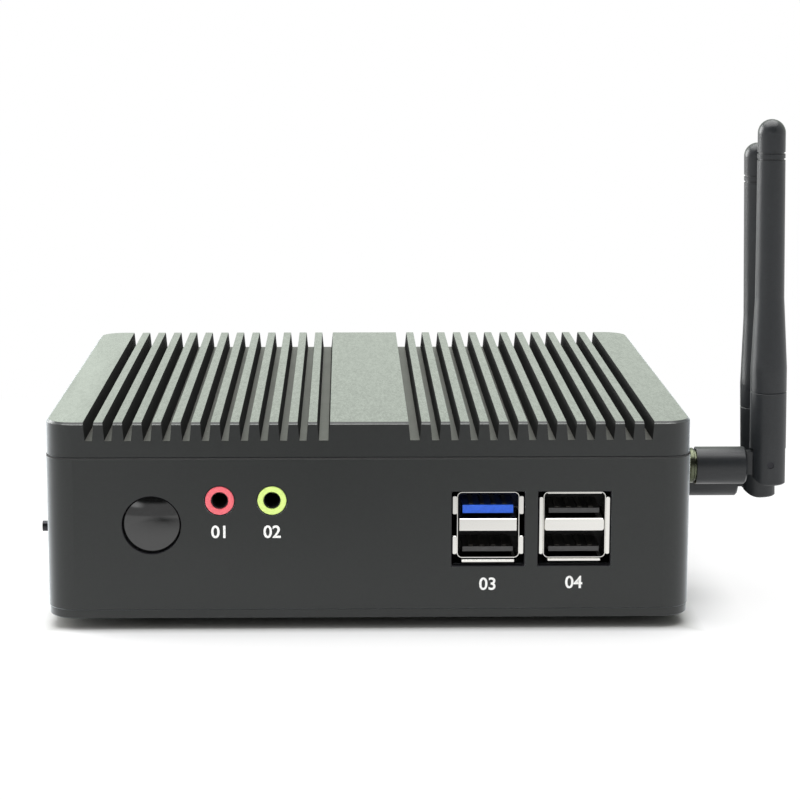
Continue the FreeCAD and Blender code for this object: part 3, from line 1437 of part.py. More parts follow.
def round_corner(sketch):
    """The lower left corner outside a quarter circle round the pivot, as an arc and four lines."""
    inner = SIZES["rod_drop"]
    outer = inner + SIZES["corner_cut_over"]
    whole = Part.Circle(Vector(), Vector(0, 0, 1), inner)
    arc = sketch.addGeometry(Part.ArcOfCircle(whole, math.pi, 1.5 * math.pi))
    corners = [(0, -inner), (0, -outer), (-outer, -outer), (-outer, 0), (-inner, 0)]
    chain = [arc]
    for start, end in zip(corners, corners[1:]):
        chain.append(sketch.addGeometry(Part.LineSegment(Vector(*start, 0), Vector(*end, 0))))
    for earlier, later in zip(chain, chain[1:]):
        sketch.addConstraint(Sketcher.Constraint("Coincident", earlier, 2, later, 1))
    sketch.addConstraint(Sketcher.Constraint("Coincident", chain[-1], 2, arc, 1))
    sketch.addConstraint(Sketcher.Constraint("Coincident", arc, 3, -1, 1))
    for line, direction in zip(chain[1:], ("Vertical", "Horizontal", "Vertical", "Horizontal")):
        sketch.addConstraint(Sketcher.Constraint(direction, line))
    sketch.addConstraint(Sketcher.Constraint("PointOnObject", chain[1], 1, -2))
    sketch.addConstraint(Sketcher.Constraint("PointOnObject", chain[4], 1, -1))
    dimension(sketch, "Radius", (arc,), "rod_drop")
    for kind in ("DistanceX", "DistanceY"):
        dimension(sketch, kind, (-1, 1, chain[3], 1), "-rod_drop - corner_cut_over")


def aerial_pin(place):
    pin = new_body(f"{place}_aerial_pin")
    end = "hinge_pin_length / 2"
    outline = [("0", f"-{end}"), ("hinge_pin_radius", f"-{end}"), ("hinge_pin_radius", end), ("0", end)]
    turn_back(pin, outline)
    return aerial_place(pin, place, pivot_across(place), "pivot_rise")


def aerials():
    places = ("front", "rear")
    gathered("aerial_jacks", [aerial_jack(place) for place in places])
    gathered("aerial_nuts", [aerial_nut(place) for place in places])
    gathered("aerial_collars", [aerial_collar(place) for place in places])
    for place in places:
        aerial_sleeve(place)
        aerial_pin(place)
        aerial_rod(place)


def bent_route(points, bend):
    """A line of straight runs through the points, with an arc of one radius at each corner."""
    pieces_of_route = []
    start = points[0]
    for before, corner, after in zip(points, points[1:], points[2:]):
        inward = (before - corner).normalize()
        outward = (after - corner).normalize()
        half_angle = inward.getAngle(outward) / 2
        reach = bend / math.tan(half_angle)
        middle = (inward + outward).normalize()
        first = corner + inward * reach
        last = corner + outward * reach
        crown = corner + middle * (bend / math.sin(half_angle) - bend)
        pieces_of_route.append(Part.makeLine(start, first))
        pieces_of_route.append(Part.Arc(first, crown, last).toShape())
        start = last
    pieces_of_route.append(Part.makeLine(start, points[-1]))
    return Part.Wire(pieces_of_route)


def aerial_leads():
    """Two thin leads under the board, from the radio card to the tails of the jacks."""
    half_width = SIZES["case_width"] / 2
    half_depth = SIZES["case_depth"] / 2
    tail = half_width - SIZES["wall_thickness"] - SIZES["jack_flange_thickness"] - SIZES["jack_tail_length"]
    frame_top = SIZES["cover_thickness"] + SIZES["frame_height"]
    lid_top = frame_top + SIZES["lid_height"]
    board_low = frame_top - SIZES["lip_depth"] - SIZES["standoff_length"] - SIZES["board_thickness"]
    card_under = board_low - SIZES["card_drop"] - SIZES["lead_radius"]
    card = Vector(SIZES["radio_across"], SIZES["radio_back"], board_low)
    jacks = {}
    for place in ("front", "rear"):
        back = SIZES[f"{place}_aerial_setback"] - half_depth
        jacks[place] = Vector(tail, back, lid_top - SIZES[f"{place}_aerial_drop"])
    front = Vector(tail, jacks["front"].y, board_low)
    routes = {
        "front": [
            jacks["front"] + Vector(-1.4, 0, 0),
            front + Vector(-1.4, 2.5, -7.7),
            front + Vector(-2.0, 15.0, -12.2),
            card + Vector(4.5, -20.0, -9.7),
        ],
        "rear": [
            jacks["rear"] + Vector(-3.0, 0, 0),
            card + Vector(13.0, -26.0, -8.2),
            card + Vector(8.5, -18.0, -8.2),
        ],
    }
    for place, middle in routes.items():
        card_across = middle[-1].x
        end_back = SIZES["radio_back"] - SIZES["lead_card_setback"]
        points = [jacks[place], *middle]
        points += [Vector(card_across, end_back - 4 * SIZES["lead_bend"], card_under)]
        points += [Vector(card_across, end_back, card_under)]
        start = Part.Wire(Part.makeCircle(SIZES["lead_radius"], points[0], Vector(-1, 0, 0)))
        lead = document.addObject("Part::Feature", f"{place}_aerial_lead")
        lead.Shape = bent_route(points, SIZES["lead_bend"]).makePipeShell([start], True, True)
        keep(lead, f"{place}_aerial_lead")


def build():
    heatsink_lid()
    case_frame()
    bottom_cover()
    case_screws()
    rubber_feet()
    side_stud()
    mainboard()
    board_standoffs()
    board_screws()
    heat_path()
    memory()
    plug_in_cards()
    clock_cell()
    coils_and_capacitors()
    usb_stacks()
    audio_jack("microphone")
    audio_jack("headphone")
    power_button()
    power_switch()
    button_spring()
    power_inlet()
    wide_video_socket()
    small_video_socket()
    lan_jack("left")
    lan_jack("right")
    lan_contacts()
    aerials()
    aerial_leads()


def check_and_write():
    """Stops on any failed object or bad shape, then writes each piece to its own file."""
    document.recompute()
    failed = [item.Name for item in document.Objects if {"Invalid", "Error"} & set(item.State)]
    if failed:
        raise RuntimeError("failed objects: " + ", ".join(failed))
    for piece in pieces:
        if piece.Shape.isNull() or not piece.Shape.isValid() or not piece.Shape.Solids:
            raise RuntimeError("bad shape: " + piece.Label)
    os.makedirs("parts", exist_ok=True)
    for piece in pieces:
        piece.Shape.exportStep(f"parts/{piece.Label}.step")


build()
check_and_write()
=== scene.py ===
"""Finish, small detail and studio stage for a fanless computer with a finned lid and two folding aerials."""
import math
from collections import namedtuple

import bmesh
import bpy
from bpy.props import FloatProperty, FloatVectorProperty, IntProperty, PointerProperty
from mathutils import Matrix, Vector


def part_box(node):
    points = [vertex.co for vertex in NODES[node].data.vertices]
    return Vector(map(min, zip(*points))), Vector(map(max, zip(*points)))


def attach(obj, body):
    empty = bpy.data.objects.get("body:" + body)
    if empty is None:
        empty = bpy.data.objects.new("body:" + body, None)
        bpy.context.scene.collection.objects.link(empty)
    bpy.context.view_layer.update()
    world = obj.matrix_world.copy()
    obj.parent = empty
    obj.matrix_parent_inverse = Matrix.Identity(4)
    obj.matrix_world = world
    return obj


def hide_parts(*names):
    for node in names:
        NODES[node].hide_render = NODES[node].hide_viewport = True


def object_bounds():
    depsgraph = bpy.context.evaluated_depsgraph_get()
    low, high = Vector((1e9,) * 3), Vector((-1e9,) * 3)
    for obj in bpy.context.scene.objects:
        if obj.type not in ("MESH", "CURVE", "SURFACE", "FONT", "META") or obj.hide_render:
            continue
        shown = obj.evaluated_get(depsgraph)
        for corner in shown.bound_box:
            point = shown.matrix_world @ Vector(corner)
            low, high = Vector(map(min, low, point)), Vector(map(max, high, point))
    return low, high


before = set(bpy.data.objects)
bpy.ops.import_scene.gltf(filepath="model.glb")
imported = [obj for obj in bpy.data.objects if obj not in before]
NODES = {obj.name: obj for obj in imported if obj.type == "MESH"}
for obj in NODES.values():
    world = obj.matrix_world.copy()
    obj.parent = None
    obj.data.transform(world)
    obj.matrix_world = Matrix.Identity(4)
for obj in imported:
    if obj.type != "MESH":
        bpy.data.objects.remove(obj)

bl_info = {
    "name": "Fanless computer looks",
    "version": (1, 0, 0),
    "blender": (4, 5, 0),
    "location": "3D View > Sidebar > Computer",
    "description": "Gives the packed parts of a fanless computer their finishes, small detail and studio stage",
    "category": "Object",
}

CAD_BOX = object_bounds()
MM = 0.001
WHITE = (1.0, 1.0, 1.0, 1.0)
FLOAT = "NodeSocketFloat"
VECTOR = "NodeSocketVector"


# ---- settings ---------------------------------------------------------------------------------
def colour_setting(name, description, default):
    return FloatVectorProperty(
        name=name, description=description, default=default, subtype="COLOR", size=3, min=0.0, max=1.0
    )


def length_setting(name, description, default):
    return FloatProperty(
        name=name, description=description, default=default, unit="LENGTH", subtype="DISTANCE", precision=5
    )


def angle_setting(name, description, degrees):
    return FloatProperty(name=name, description=description, default=math.radians(degrees), unit="ROTATION")


def power_setting(name, description, default):
    return FloatProperty(name=name, description=description, default=default, unit="POWER")


def strength_setting(name, description, default):
    return FloatProperty(name=name, description=description, default=default, min=0.0, max=1.0)


class FinishSettings(bpy.types.PropertyGroup):
    """Colours of the case, the lid, the aerials and the print, and the grain of the blasted lid."""

    case_colour: colour_setting("Case colour", "Colour of the black anodised case", (0.0095, 0.0115, 0.0105))
    lid_colour: colour_setting("Lid colour", "Colour of the lid's outside", (0.0085, 0.0103, 0.0095))
    # the top colour is painted lighter and greener than the lid's, as the backdrop's sheen at a grazing angle
    top_colour: colour_setting("Top colour", "Colour of the lid's blasted top faces", (0.032, 0.038, 0.03))
    aerial_colour: colour_setting("Aerial colour", "Colour of the moulded aerials", (0.016, 0.018, 0.02))
    print_colour: colour_setting("Print colour", "Colour of the port numbers", (0.93, 0.93, 0.91))
    blast_size: length_setting("Blast grain", "Size of the bead-blasted grain of the lid", 0.0004)


class LidSettings(bpy.types.PropertyGroup):
    """Fins and slots of the lid, as they stand on its top face, and the draft of their walls."""

    centre_band: length_setting("Centre band", "Width of the flat band in the middle", 0.0161)
    centre_slot: length_setting("Centre slot", "Width of the slot beside the band", 0.0027)
    fin_thickness: length_setting("Fin thickness", "Width of a fin's top", 0.0018)
    fin_pitch: length_setting("Fin pitch", "From one fin to the next", 0.004)
    fin_count: IntProperty(name="Fins", description="Fins on each side of the band", default=12, min=1)
    slot_depth: length_setting("Slot depth", "Depth of the slots", 0.0038)
    draft: length_setting("Draft", "How far the foot of a fin reaches into the slot", 0.00037)
    corner: length_setting("Corner", "Radius of the case's upright corners", 0.006)


class PrintSettings(bpy.types.PropertyGroup):
    """Port numbers on the front panel."""

    digit_height: length_setting("Digit height", "Height of a printed digit", 0.0027)
    jack_drop: length_setting("Drop under a jack", "From a jack's axis down to its number", 0.00655)
    left_drop: length_setting("Drop under the left socket", "From the shell down to its number", 0.0045)
    right_drop: length_setting("Drop under the right socket", "From the shell down to its number", 0.0042)
    ink_thickness: length_setting("Ink thickness", "How far the ink stands on the panel", 0.00001)


class SocketSettings(bpy.types.PropertyGroup):
    """Folded shells of the double sockets, and pin holes and lamps of the rear sockets."""

    sheet: length_setting("Sheet", "Thickness of the folded sheet", 0.00014)
    corner: length_setting("Corner", "Corner radius of the folded stack", 0.0009)
    cut_width: length_setting("Cut-out width", "Width of a double socket's cut-out", 0.0153)
    cut_height: length_setting("Cut-out height", "Height of a double socket's cut-out", 0.016)
    cut_middle: length_setting("Cut-out middle", "Height of the middle of the cut-outs", 0.01885)
    cut_lining: length_setting("Cut-out lining", "Thickness of the dark lining of a cut-out", 0.00006)
    # a sheet of painted shade on a cut-out's wall
    lip_sheet: length_setting("Lip sheet", "Thickness of a lip that is folded outwards", 0.0003)
    pin_hole_radius: length_setting("Pin hole radius", "Radius of a hole of the wide video socket", 0.0005)
    pin_pitch: length_setting("Pin pitch", "From one pin hole to the next", 0.0023)
    row_pitch: length_setting("Row pitch", "From one row of pin holes to the next", 0.00198)
    pins_in_row: IntProperty(name="Pins in a row", description="Holes in each of the three rows", default=5, min=1)
    lamp_spread: length_setting("Lamp spread", "From a network socket's middle to a lamp", 0.0054)
    lamp_height: length_setting("Lamp height", "From a network socket's foot to its lamps", 0.0017)


class ControlSettings(bpy.types.PropertyGroup):
    """The power button and the two round jacks."""

    cap_radius: length_setting("Cap radius", "Radius of the button's cap", 0.00604)
    cap_hole: length_setting("Cap hole", "Radius of the button's hole in the panel", 0.0062)
    dome: length_setting("Dome", "Radius of the button's domed face", 0.022)
    button_edge: length_setting("Button edge", "Rounding round the button's face", 0.0003)
    wall: length_setting("Wall", "Thickness of the panel in front of the button's flange", 0.003)
    flange: length_setting("Flange", "Thickness of the button's flange", 0.001)
    plunger: length_setting("Plunger", "Radius of the plunger behind the button", 0.0015)
    bore: length_setting("Bore", "Radius of a jack's bore", 0.00179)
    bore_depth: length_setting("Bore depth", "Depth of a jack's bore", 0.014)
    body_height: length_setting("Body height", "Height of a jack's body behind the panel", 0.0056)
    ring_clearance: length_setting("Ring clearance", "From the packed ring to its hole", 0.0001)
    ring_gap: length_setting("Ring gap", "Gap between a jack's ring and its hole", 0.00022)
    ring_edge: length_setting("Ring edge", "Rounding of a jack's ring", 0.00022)
    # a dark sheet of painted shade in a jack's bore
    lining: length_setting("Lining", "Thickness of the dark lining in a jack", 0.00018)


class AerialSettings(bpy.types.PropertyGroup):
    """Couplings of the aerials, their hinge tongues and the thread of the side stud."""

    ring_length: length_setting("Ring length", "From the coupling ring's start to the sleeve", 0.0014)
    ring_radius: length_setting("Ring radius", "Radius of a coupling ring", 0.0038)
    hub_radius: length_setting("Hub radius", "Radius of the hub inside the sleeve", 0.00335)
    hub_length: length_setting("Hub length", "How far the hub reaches in", 0.0031)
    bore: length_setting("Bore", "Radius of a coupling's bore", 0.00313)
    sleeve_radius: length_setting("Sleeve radius", "Radius of a sleeve", 0.00403)
    sleeve_length: length_setting("Sleeve length", "Length of a sleeve up to its hinge tongue", 0.0108)
    tongue: length_setting("Tongue", "Thickness of a hinge tongue", 0.003)
    slit: length_setting("Slit", "Height of the slit across a hinge tongue", 0.00028)
    seam: length_setting("Seam", "Gap between a coupling's ring and its sleeve", 0.0005)
    stud_radius: length_setting("Stud radius", "Radius of the side stud over its thread", 0.0011)
    thread_pitch: length_setting("Thread pitch", "From one crest of a thread to the next", 0.0004)
    thread_depth: length_setting("Thread depth", "How far a crest stands out", 0.00012)


class StageSettings(bpy.types.PropertyGroup):
    """Camera, lights and floor."""

    lens: FloatProperty(name="Lens", description="Focal length of the camera", default=108.94, unit="CAMERA")
    camera_place: FloatVectorProperty(
        name="Camera place", description="Where the camera stands", unit="LENGTH", default=(-0.00506, -0.5514, 0.1328)
    )
    heading: angle_setting("Heading", "Turn of the camera towards the aerials", 1.33)
    dip: angle_setting("Dip", "How far the camera looks down", 10.07)
    roll: angle_setting("Roll", "Turn of the camera about its view", 0.11)
    top_power: power_setting("Top light", "Power of the softbox overhead", 14.0)
    front_power: power_setting("Front light", "Power of the softbox in front", 3.0)
    side_power: power_setting("Side light", "Power of the softbox on the left", 22.0)
    fill: strength_setting("Fill", "Strength of the light from all round", 0.45)
    room: strength_setting("Room", "Brightness that gloss shows in front of the object", 0.6)
    doorway: strength_setting("Doorway", "Brightness of the dark doorway that gloss shows ahead", 0.08)
    backdrop_tint: colour_setting("Backdrop tint", "Cast of the backdrop in gloss", (0.86, 0.94, 0.84))


# ---- node helpers -----------------------------------------------------------------------------
def linked(tree, output, target):
    tree.links.new(output, target)


def add_node(tree, kind, **values):
    node = tree.nodes.new(kind)
    for name, value in values.items():
        setattr(node, name, value)
    return node


def set_inputs(node, **values):
    for name, value in values.items():
        node.inputs[name.replace("_", " ")].default_value = value
    return node


def maths(tree, operation, first, second=0.0):
    """A Math node; each side is an output or a number."""
    node = add_node(tree, "ShaderNodeMath", operation=operation)
    for index, side in enumerate((first, second)):
        if isinstance(side, (int, float)):
            node.inputs[index].default_value = side
        else:
            linked(tree, side, node.inputs[index])
    return node.outputs[0]


def product(tree, *parts):
    """All parts multiplied, outputs and numbers alike."""
    result = parts[0]
    for part in parts[1:]:
        result = maths(tree, "MULTIPLY", result, part)
    return result


def largest(tree, *parts):
    result = parts[0]
    for part in parts[1:]:
        result = maths(tree, "MAXIMUM", result, part)
    return result


def remap(tree, value, old, new=(0.0, 1.0)):
    """Takes a value from one range to another, and holds it at the ends."""
    node = add_node(tree, "ShaderNodeMapRange", clamp=True)
    linked(tree, value, node.inputs["Value"])
    set_inputs(node, From_Min=old[0], From_Max=old[1], To_Min=new[0], To_Max=new[1])
    return node.outputs["Result"]


def noise(tree, vector, scale, detail=2.0, roughness=0.5):
    node = add_node(tree, "ShaderNodeTexNoise", noise_dimensions="3D")
    linked(tree, vector, node.inputs["Vector"])
    linked(tree, scale, node.inputs["Scale"])
    set_inputs(node, Detail=detail, Roughness=roughness)
    return node.outputs["Fac"]


def mixed(tree, factor, first, second):
    """A colour between two, by a mask; each side is an output or a colour."""
    node = add_node(tree, "ShaderNodeMix", data_type="RGBA")
    linked(tree, factor, node.inputs["Factor"])
    for name, side in (("A", first), ("B", second)):
        socket = next(item for item in node.inputs if item.name == name and item.type == "RGBA")
        if isinstance(side, bpy.types.NodeSocket):
            linked(tree, side, socket)
        else:
            socket.default_value = side
    return next(item for item in node.outputs if item.type == "RGBA")


def axes_of(tree, vector):
    """The three parts of a vector."""
    node = add_node(tree, "ShaderNodeSeparateXYZ")
    linked(tree, vector, node.inputs[0])
    return node.outputs


def scaled(colour, factor=1.0):
    """A colour made stronger or weaker, with its alpha."""
    return tuple(channel * factor for channel in colour[:3]) + (1.0,)


def new_group(name, kind, inputs, outputs):
    """A new node group with its sockets; returns it with what goes in and what comes out."""
    tree = bpy.data.node_groups.new(name, kind)
    for label, (socket_type, default) in inputs.items():
        socket = tree.interface.new_socket(name=label, in_out="INPUT", socket_type=socket_type)
        if default is not None:
            socket.default_value = default
    for label, socket_type in outputs.items():
        tree.interface.new_socket(name=label, in_out="OUTPUT", socket_type=socket_type)
    return tree, add_node(tree, "NodeGroupInput").outputs, add_node(tree, "NodeGroupOutput").inputs


# ---- shared shader groups ---------------------------------------------------------------------
def fine_grain(name):
    """Fine grain: a mask for tone and a height for bump, from two sizes of noise."""
    coarse_ratio, fine_share, coarse_share = 0.37, 0.6, 0.4
    inputs = {"Vector": (VECTOR, None), "Scale": (FLOAT, 3000.0)}
    tree, given, result = new_group(name, "ShaderNodeTree", inputs, {"Tone": FLOAT, "Height": FLOAT})
    fine = noise(tree, given["Vector"], given["Scale"], detail=1.0)
    coarse = noise(tree, given["Vector"], product(tree, given["Scale"], coarse_ratio))
    both = maths(tree, "ADD", product(tree, fine, fine_share), product(tree, coarse, coarse_share))
    linked(tree, remap(tree, both, (0.35, 0.65)), result["Tone"])
    linked(tree, both, result["Height"])
    return tree


def soft_patches(name):
    """Broad soft patches, such as handling leaves on a finish."""
    inputs = {"Vector": (VECTOR, None), "Scale": (FLOAT, 60.0)}
    tree, given, result = new_group(name, "ShaderNodeTree", inputs, {"Mask": FLOAT})
    broad = noise(tree, given["Vector"], given["Scale"], detail=3.0, roughness=0.55)
    linked(tree, remap(tree, broad, (0.3, 0.7)), result["Mask"])
    return tree


def dust_specks(name):
    """Sparse light specks of dust: a mask that is one inside a speck."""
    common = 0.8
    inputs = {"Vector": (VECTOR, None), "Scale": (FLOAT, 140.0), "Size": (FLOAT, 0.04)}
    tree, given, result = new_group(name, "ShaderNodeTree", inputs, {"Mask": FLOAT})
    cells = add_node(tree, "ShaderNodeTexVoronoi", feature="F1")
    linked(tree, given["Vector"], cells.inputs["Vector"])
    linked(tree, given["Scale"], cells.inputs["Scale"])
    near = maths(tree, "LESS_THAN", cells.outputs["Distance"], given["Size"])
    split = add_node(tree, "ShaderNodeSeparateColor")
    linked(tree, cells.outputs["Color"], split.inputs["Color"])
    rare = maths(tree, "GREATER_THAN", split.outputs["Red"], common)
    linked(tree, product(tree, near, rare), result["Mask"])
    return tree


def place_group(tree, builder, vector, **values):
    """Places a shared group, which is built the first time that it is asked for."""
    name = builder.__name__
    node = add_node(tree, "ShaderNodeGroup", node_tree=bpy.data.node_groups.get(name) or builder(name))
    linked(tree, vector, node.inputs["Vector"])
    return set_inputs(node, **values)


# ---- finishes ---------------------------------------------------------------------------------
MADE = {}


class Finish:
    """A material in the making: its tree, its shader and its object coordinates."""

    def __init__(self, name, colour, roughness, metallic=0.0):
        self.material = bpy.data.materials.new(name)
        self.material.use_nodes = True
        MADE[name] = self.material
        self.tree = self.material.node_tree
        self.shader = self.tree.nodes["Principled BSDF"]
        set_inputs(self.shader, Base_Color=scaled(colour), Roughness=roughness, Metallic=metallic)
        self.place = add_node(self.tree, "ShaderNodeTexCoord").outputs["Object"]

    def feed(self, output, socket="Base Color"):
        linked(self.tree, output, self.shader.inputs[socket])

    def tone(self, colour, light, dark, scale, vector=None):
        """Varies the colour with the grain, between two strengths of it; returns the grain and the colour."""
        grain = place_group(self.tree, fine_grain, vector or self.place, Scale=scale)
        varied = mixed(self.tree, grain.outputs["Tone"], scaled(colour, dark), scaled(colour, light))
        self.feed(varied)
        return grain.outputs, varied

    def dust(self, under):
        """Sparse specks over a colour."""
        specks = place_group(self.tree, dust_specks, self.place, Scale=150.0, Size=0.03)
        dusty = mixed(self.tree, specks.outputs["Mask"], under, (0.16, 0.17, 0.16, 1.0))
        self.feed(dusty)
        return dusty

    def rub(self, under, tone, low, high, inner_x, inner_y):
        """Painted highlight along an outer edge: a lighter colour between two heights and outside an inner rectangle.
        """
        tree = self.tree
        across, along, up = axes_of(tree, self.place)
        outside = largest(
            tree,
            maths(tree, "GREATER_THAN", maths(tree, "ABSOLUTE", across), inner_x),
            maths(tree, "GREATER_THAN", maths(tree, "ABSOLUTE", along), inner_y),
        )
        within = product(tree, maths(tree, "GREATER_THAN", up, low), maths(tree, "LESS_THAN", up, high))
        mask = product(tree, outside, within, remap(tree, tone, (0.0, 1.0), (0.5, 1.0)))
        # painted highlight: a lighter colour along the lid's top chamfer
        self.feed(mixed(tree, mask, under, (0.16, 0.17, 0.16, 1.0)))

    def bump(self, height, depth):
        node = set_inputs(add_node(self.tree, "ShaderNodeBump"), Distance=depth, Strength=1.0)
        linked(self.tree, height, node.inputs["Height"])
        self.feed(node.outputs["Normal"], "Normal")

    def patchy_roughness(self, smooth, rough, scale):
        patches = place_group(self.tree, soft_patches, self.place, Scale=scale)
        self.feed(remap(self.tree, patches.outputs["Mask"], (0.0, 1.0), (smooth, rough)), "Roughness")


def moulded(name, colour, smooth, rough, grain=2200.0, depth=0.00001):
    """Moulded plastic: slight mottling, a fine skin and patches of sheen."""
    finish = Finish(name, colour, rough)
    grained, _ = finish.tone(colour, 1.12, 0.9, grain)
    finish.patchy_roughness(smooth, rough, 90.0)
    finish.bump(grained["Height"], depth)


def socket_insert(name, colour, shade_colour):
    """Moulded insert of a double socket: the tongue's face as moulded, and painted shade further in, where the socket
    is deep.
    """
    finish = Finish(name, colour, 0.4)
    grained, varied = finish.tone(colour, 1.1, 0.9, 2200.0)
    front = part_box("usb_left_upper_insert")[0].y
    # painted shade: the colour darkens from just behind the tongue's face inwards
    behind = remap(finish.tree, axes_of(finish.tree, finish.place)["Y"], (front + 0.02 * MM, front + 0.5 * MM))
    finish.feed(mixed(finish.tree, behind, varied, scaled(shade_colour)))
    finish.patchy_roughness(0.35, 0.5, 90.0)
    finish.bump(grained["Height"], 0.00001)


def bare_metal(name, colour, smooth, rough):
    """Plated or bare metal: faint tarnish and soft changes of polish."""
    finish = Finish(name, colour, rough, metallic=1.0)
    grained, _ = finish.tone(colour, 1.0, 0.88, 1500.0)
    finish.patchy_roughness(smooth, rough, 220.0)
    finish.bump(grained["Height"], 0.000004)


def anodised(name, colour, rough, seal, bloom, grain_size=0.0003, contrast=0.14, depth=0.000004, highlight_band=None):
    """Bead-blasted and anodised aluminium under its clear seal, with a few specks of dust, and a painted highlight
    along an edge where one is given.
    """
    finish = Finish(name, colour, rough)
    set_inputs(finish.shader, Coat_Weight=seal, Coat_Roughness=rough, Sheen_Weight=bloom, Sheen_Roughness=0.35)
    set_inputs(finish.shader, Sheen_Tint=(0.88, 0.95, 1.0, 1.0))
    grained, varied = finish.tone(colour, 1.0 + contrast, 1.0 - contrast, 1.0 / grain_size)
    dusty = finish.dust(varied)
    if highlight_band:
        finish.rub(dusty, grained["Tone"], *highlight_band)
    finish.patchy_roughness(rough - 0.03, rough + 0.04, 45.0)
    finish.bump(grained["Height"], depth)


def blasted_top(name, colour, grain_size):
    """The blasted top faces of the lid, in a colour lighter and greener than the lid's as a painted sheen of the
    backdrop: speckle drawn out along the fins, and a pale smudge on the left band.
    """
    finish = Finish(name, colour, 0.26)
    set_inputs(finish.shader, Coat_Roughness=0.24)
    tree = finish.tree
    drawn = add_node(tree, "ShaderNodeMapping")
    drawn.inputs["Scale"].default_value = (1.0, 0.22, 1.0)
    linked(tree, finish.place, drawn.inputs["Vector"])
    vector = drawn.outputs["Vector"]
    grained, speckle = finish.tone(colour, 1.3, 0.7, 1.0 / grain_size, vector)
    finish.feed(remap(tree, grained["Tone"], (0.0, 1.0), (0.6, 0.95)), "Coat Weight")
    patches = place_group(tree, soft_patches, vector, Scale=150.0)
    band = remap(tree, axes_of(tree, finish.place)["X"], (-0.0535, -0.062))
    streaks = remap(tree, patches.outputs["Mask"], (0.0, 1.0), (0.25, 0.7))
    finish.dust(mixed(tree, product(tree, band, streaks), speckle, (0.2, 0.225, 0.195, 1.0)))
    finish.bump(grained["Height"], 0.00003)


def sawn_wall(name, colour, grain_size):
    """The walls of the slots: dull, with a dark colour and a weak reflection as painted shade between the fins."""
    finish = Finish(name, colour, 0.8)
    set_inputs(finish.shader, Specular_IOR_Level=0.2)
    grained, _ = finish.tone(colour, 1.4, 0.6, 1.0 / grain_size)
    finish.patchy_roughness(0.7, 0.9, 90.0)
    finish.bump(grained["Height"], 0.00002)


def circuit_board(name):
    """Solder mask with a faint net of tracks under it."""
    colour = (0.012, 0.075, 0.035)
    finish = Finish(name, colour, 0.35)
    tracks = add_node(finish.tree, "ShaderNodeTexBrick", offset=0.35, squash=1.4)
    linked(finish.tree, finish.place, tracks.inputs["Vector"])
    set_inputs(tracks, Scale=260.0, Mortar_Size=0.03)
    set_inputs(tracks, Color1=scaled(colour), Color2=scaled(colour, 1.25), Mortar=scaled(colour, 2.6))
    finish.feed(tracks.outputs["Color"])
    finish.bump(tracks.outputs["Fac"], 0.00001)
    finish.patchy_roughness(0.28, 0.42, 80.0)


def piano_black(name):
    """Polished black moulding under a clear coat."""
    colour = (0.003, 0.0034, 0.0033)
    finish = Finish(name, colour, 0.06)
    set_inputs(finish.shader, Coat_Weight=1.0, Coat_Roughness=0.035)
    finish.tone(colour, 1.3, 0.8, 1500.0)
    finish.patchy_roughness(0.05, 0.1, 160.0)


def lid_rim():
    """Heights and inner half sizes between which the lid's outer top edge gets its painted highlight."""
    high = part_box("heatsink_lid")[1]
    chamfer, highlight_down_from = 0.5 * MM, 0.34 * MM
    return high.z - chamfer, high.z - highlight_down_from, high.x - chamfer, high.y - chamfer


METALS = {
    "black_screw": ((0.05, 0.05, 0.055), 0.3, 0.42),
    "steel": ((0.56, 0.56, 0.55), 0.25, 0.38),
    "nickel": ((1.0, 0.97, 0.82), 0.1, 0.18),
    "coupling": ((0.115, 0.127, 0.085), 0.22, 0.34),
    "brass": ((0.62, 0.5, 0.25), 0.2, 0.34),
    "gold": ((0.85, 0.62, 0.25), 0.18, 0.28),
    # painted shade: the socket contacts' metal is near black, as the shade inside the sockets
    "contact_metal": ((0.07, 0.066, 0.06), 0.3, 0.42),
    "copper": ((0.75, 0.36, 0.22), 0.3, 0.42),
}
PLASTICS = {
    "rubber": ((0.02, 0.02, 0.02), 0.6, 0.8, 1800.0, 0.00003),
    "black_plastic": ((0.012, 0.012, 0.013), 0.4, 0.52),
    "blue_plastic": ((0.03, 0.16, 0.82), 0.3, 0.42),
    "cream_plastic": ((0.66, 0.63, 0.53), 0.42, 0.55),
    "pink_plastic": ((0.72, 0.09, 0.1), 0.22, 0.34, 2600.0, 0.000005),
    "lime_plastic": ((0.64, 0.85, 0.2), 0.22, 0.34, 2600.0, 0.000005),
    "lead_jacket": ((0.02, 0.02, 0.02), 0.3, 0.45),
    "chip_epoxy": ((0.03, 0.03, 0.032), 0.5, 0.62),
    "thermal_pad": ((0.42, 0.42, 0.46), 0.7, 0.85),
    "lamp_green": ((0.12, 0.5, 0.1), 0.2, 0.3),
    "lamp_amber": ((0.75, 0.35, 0.03), 0.2, 0.3),
}


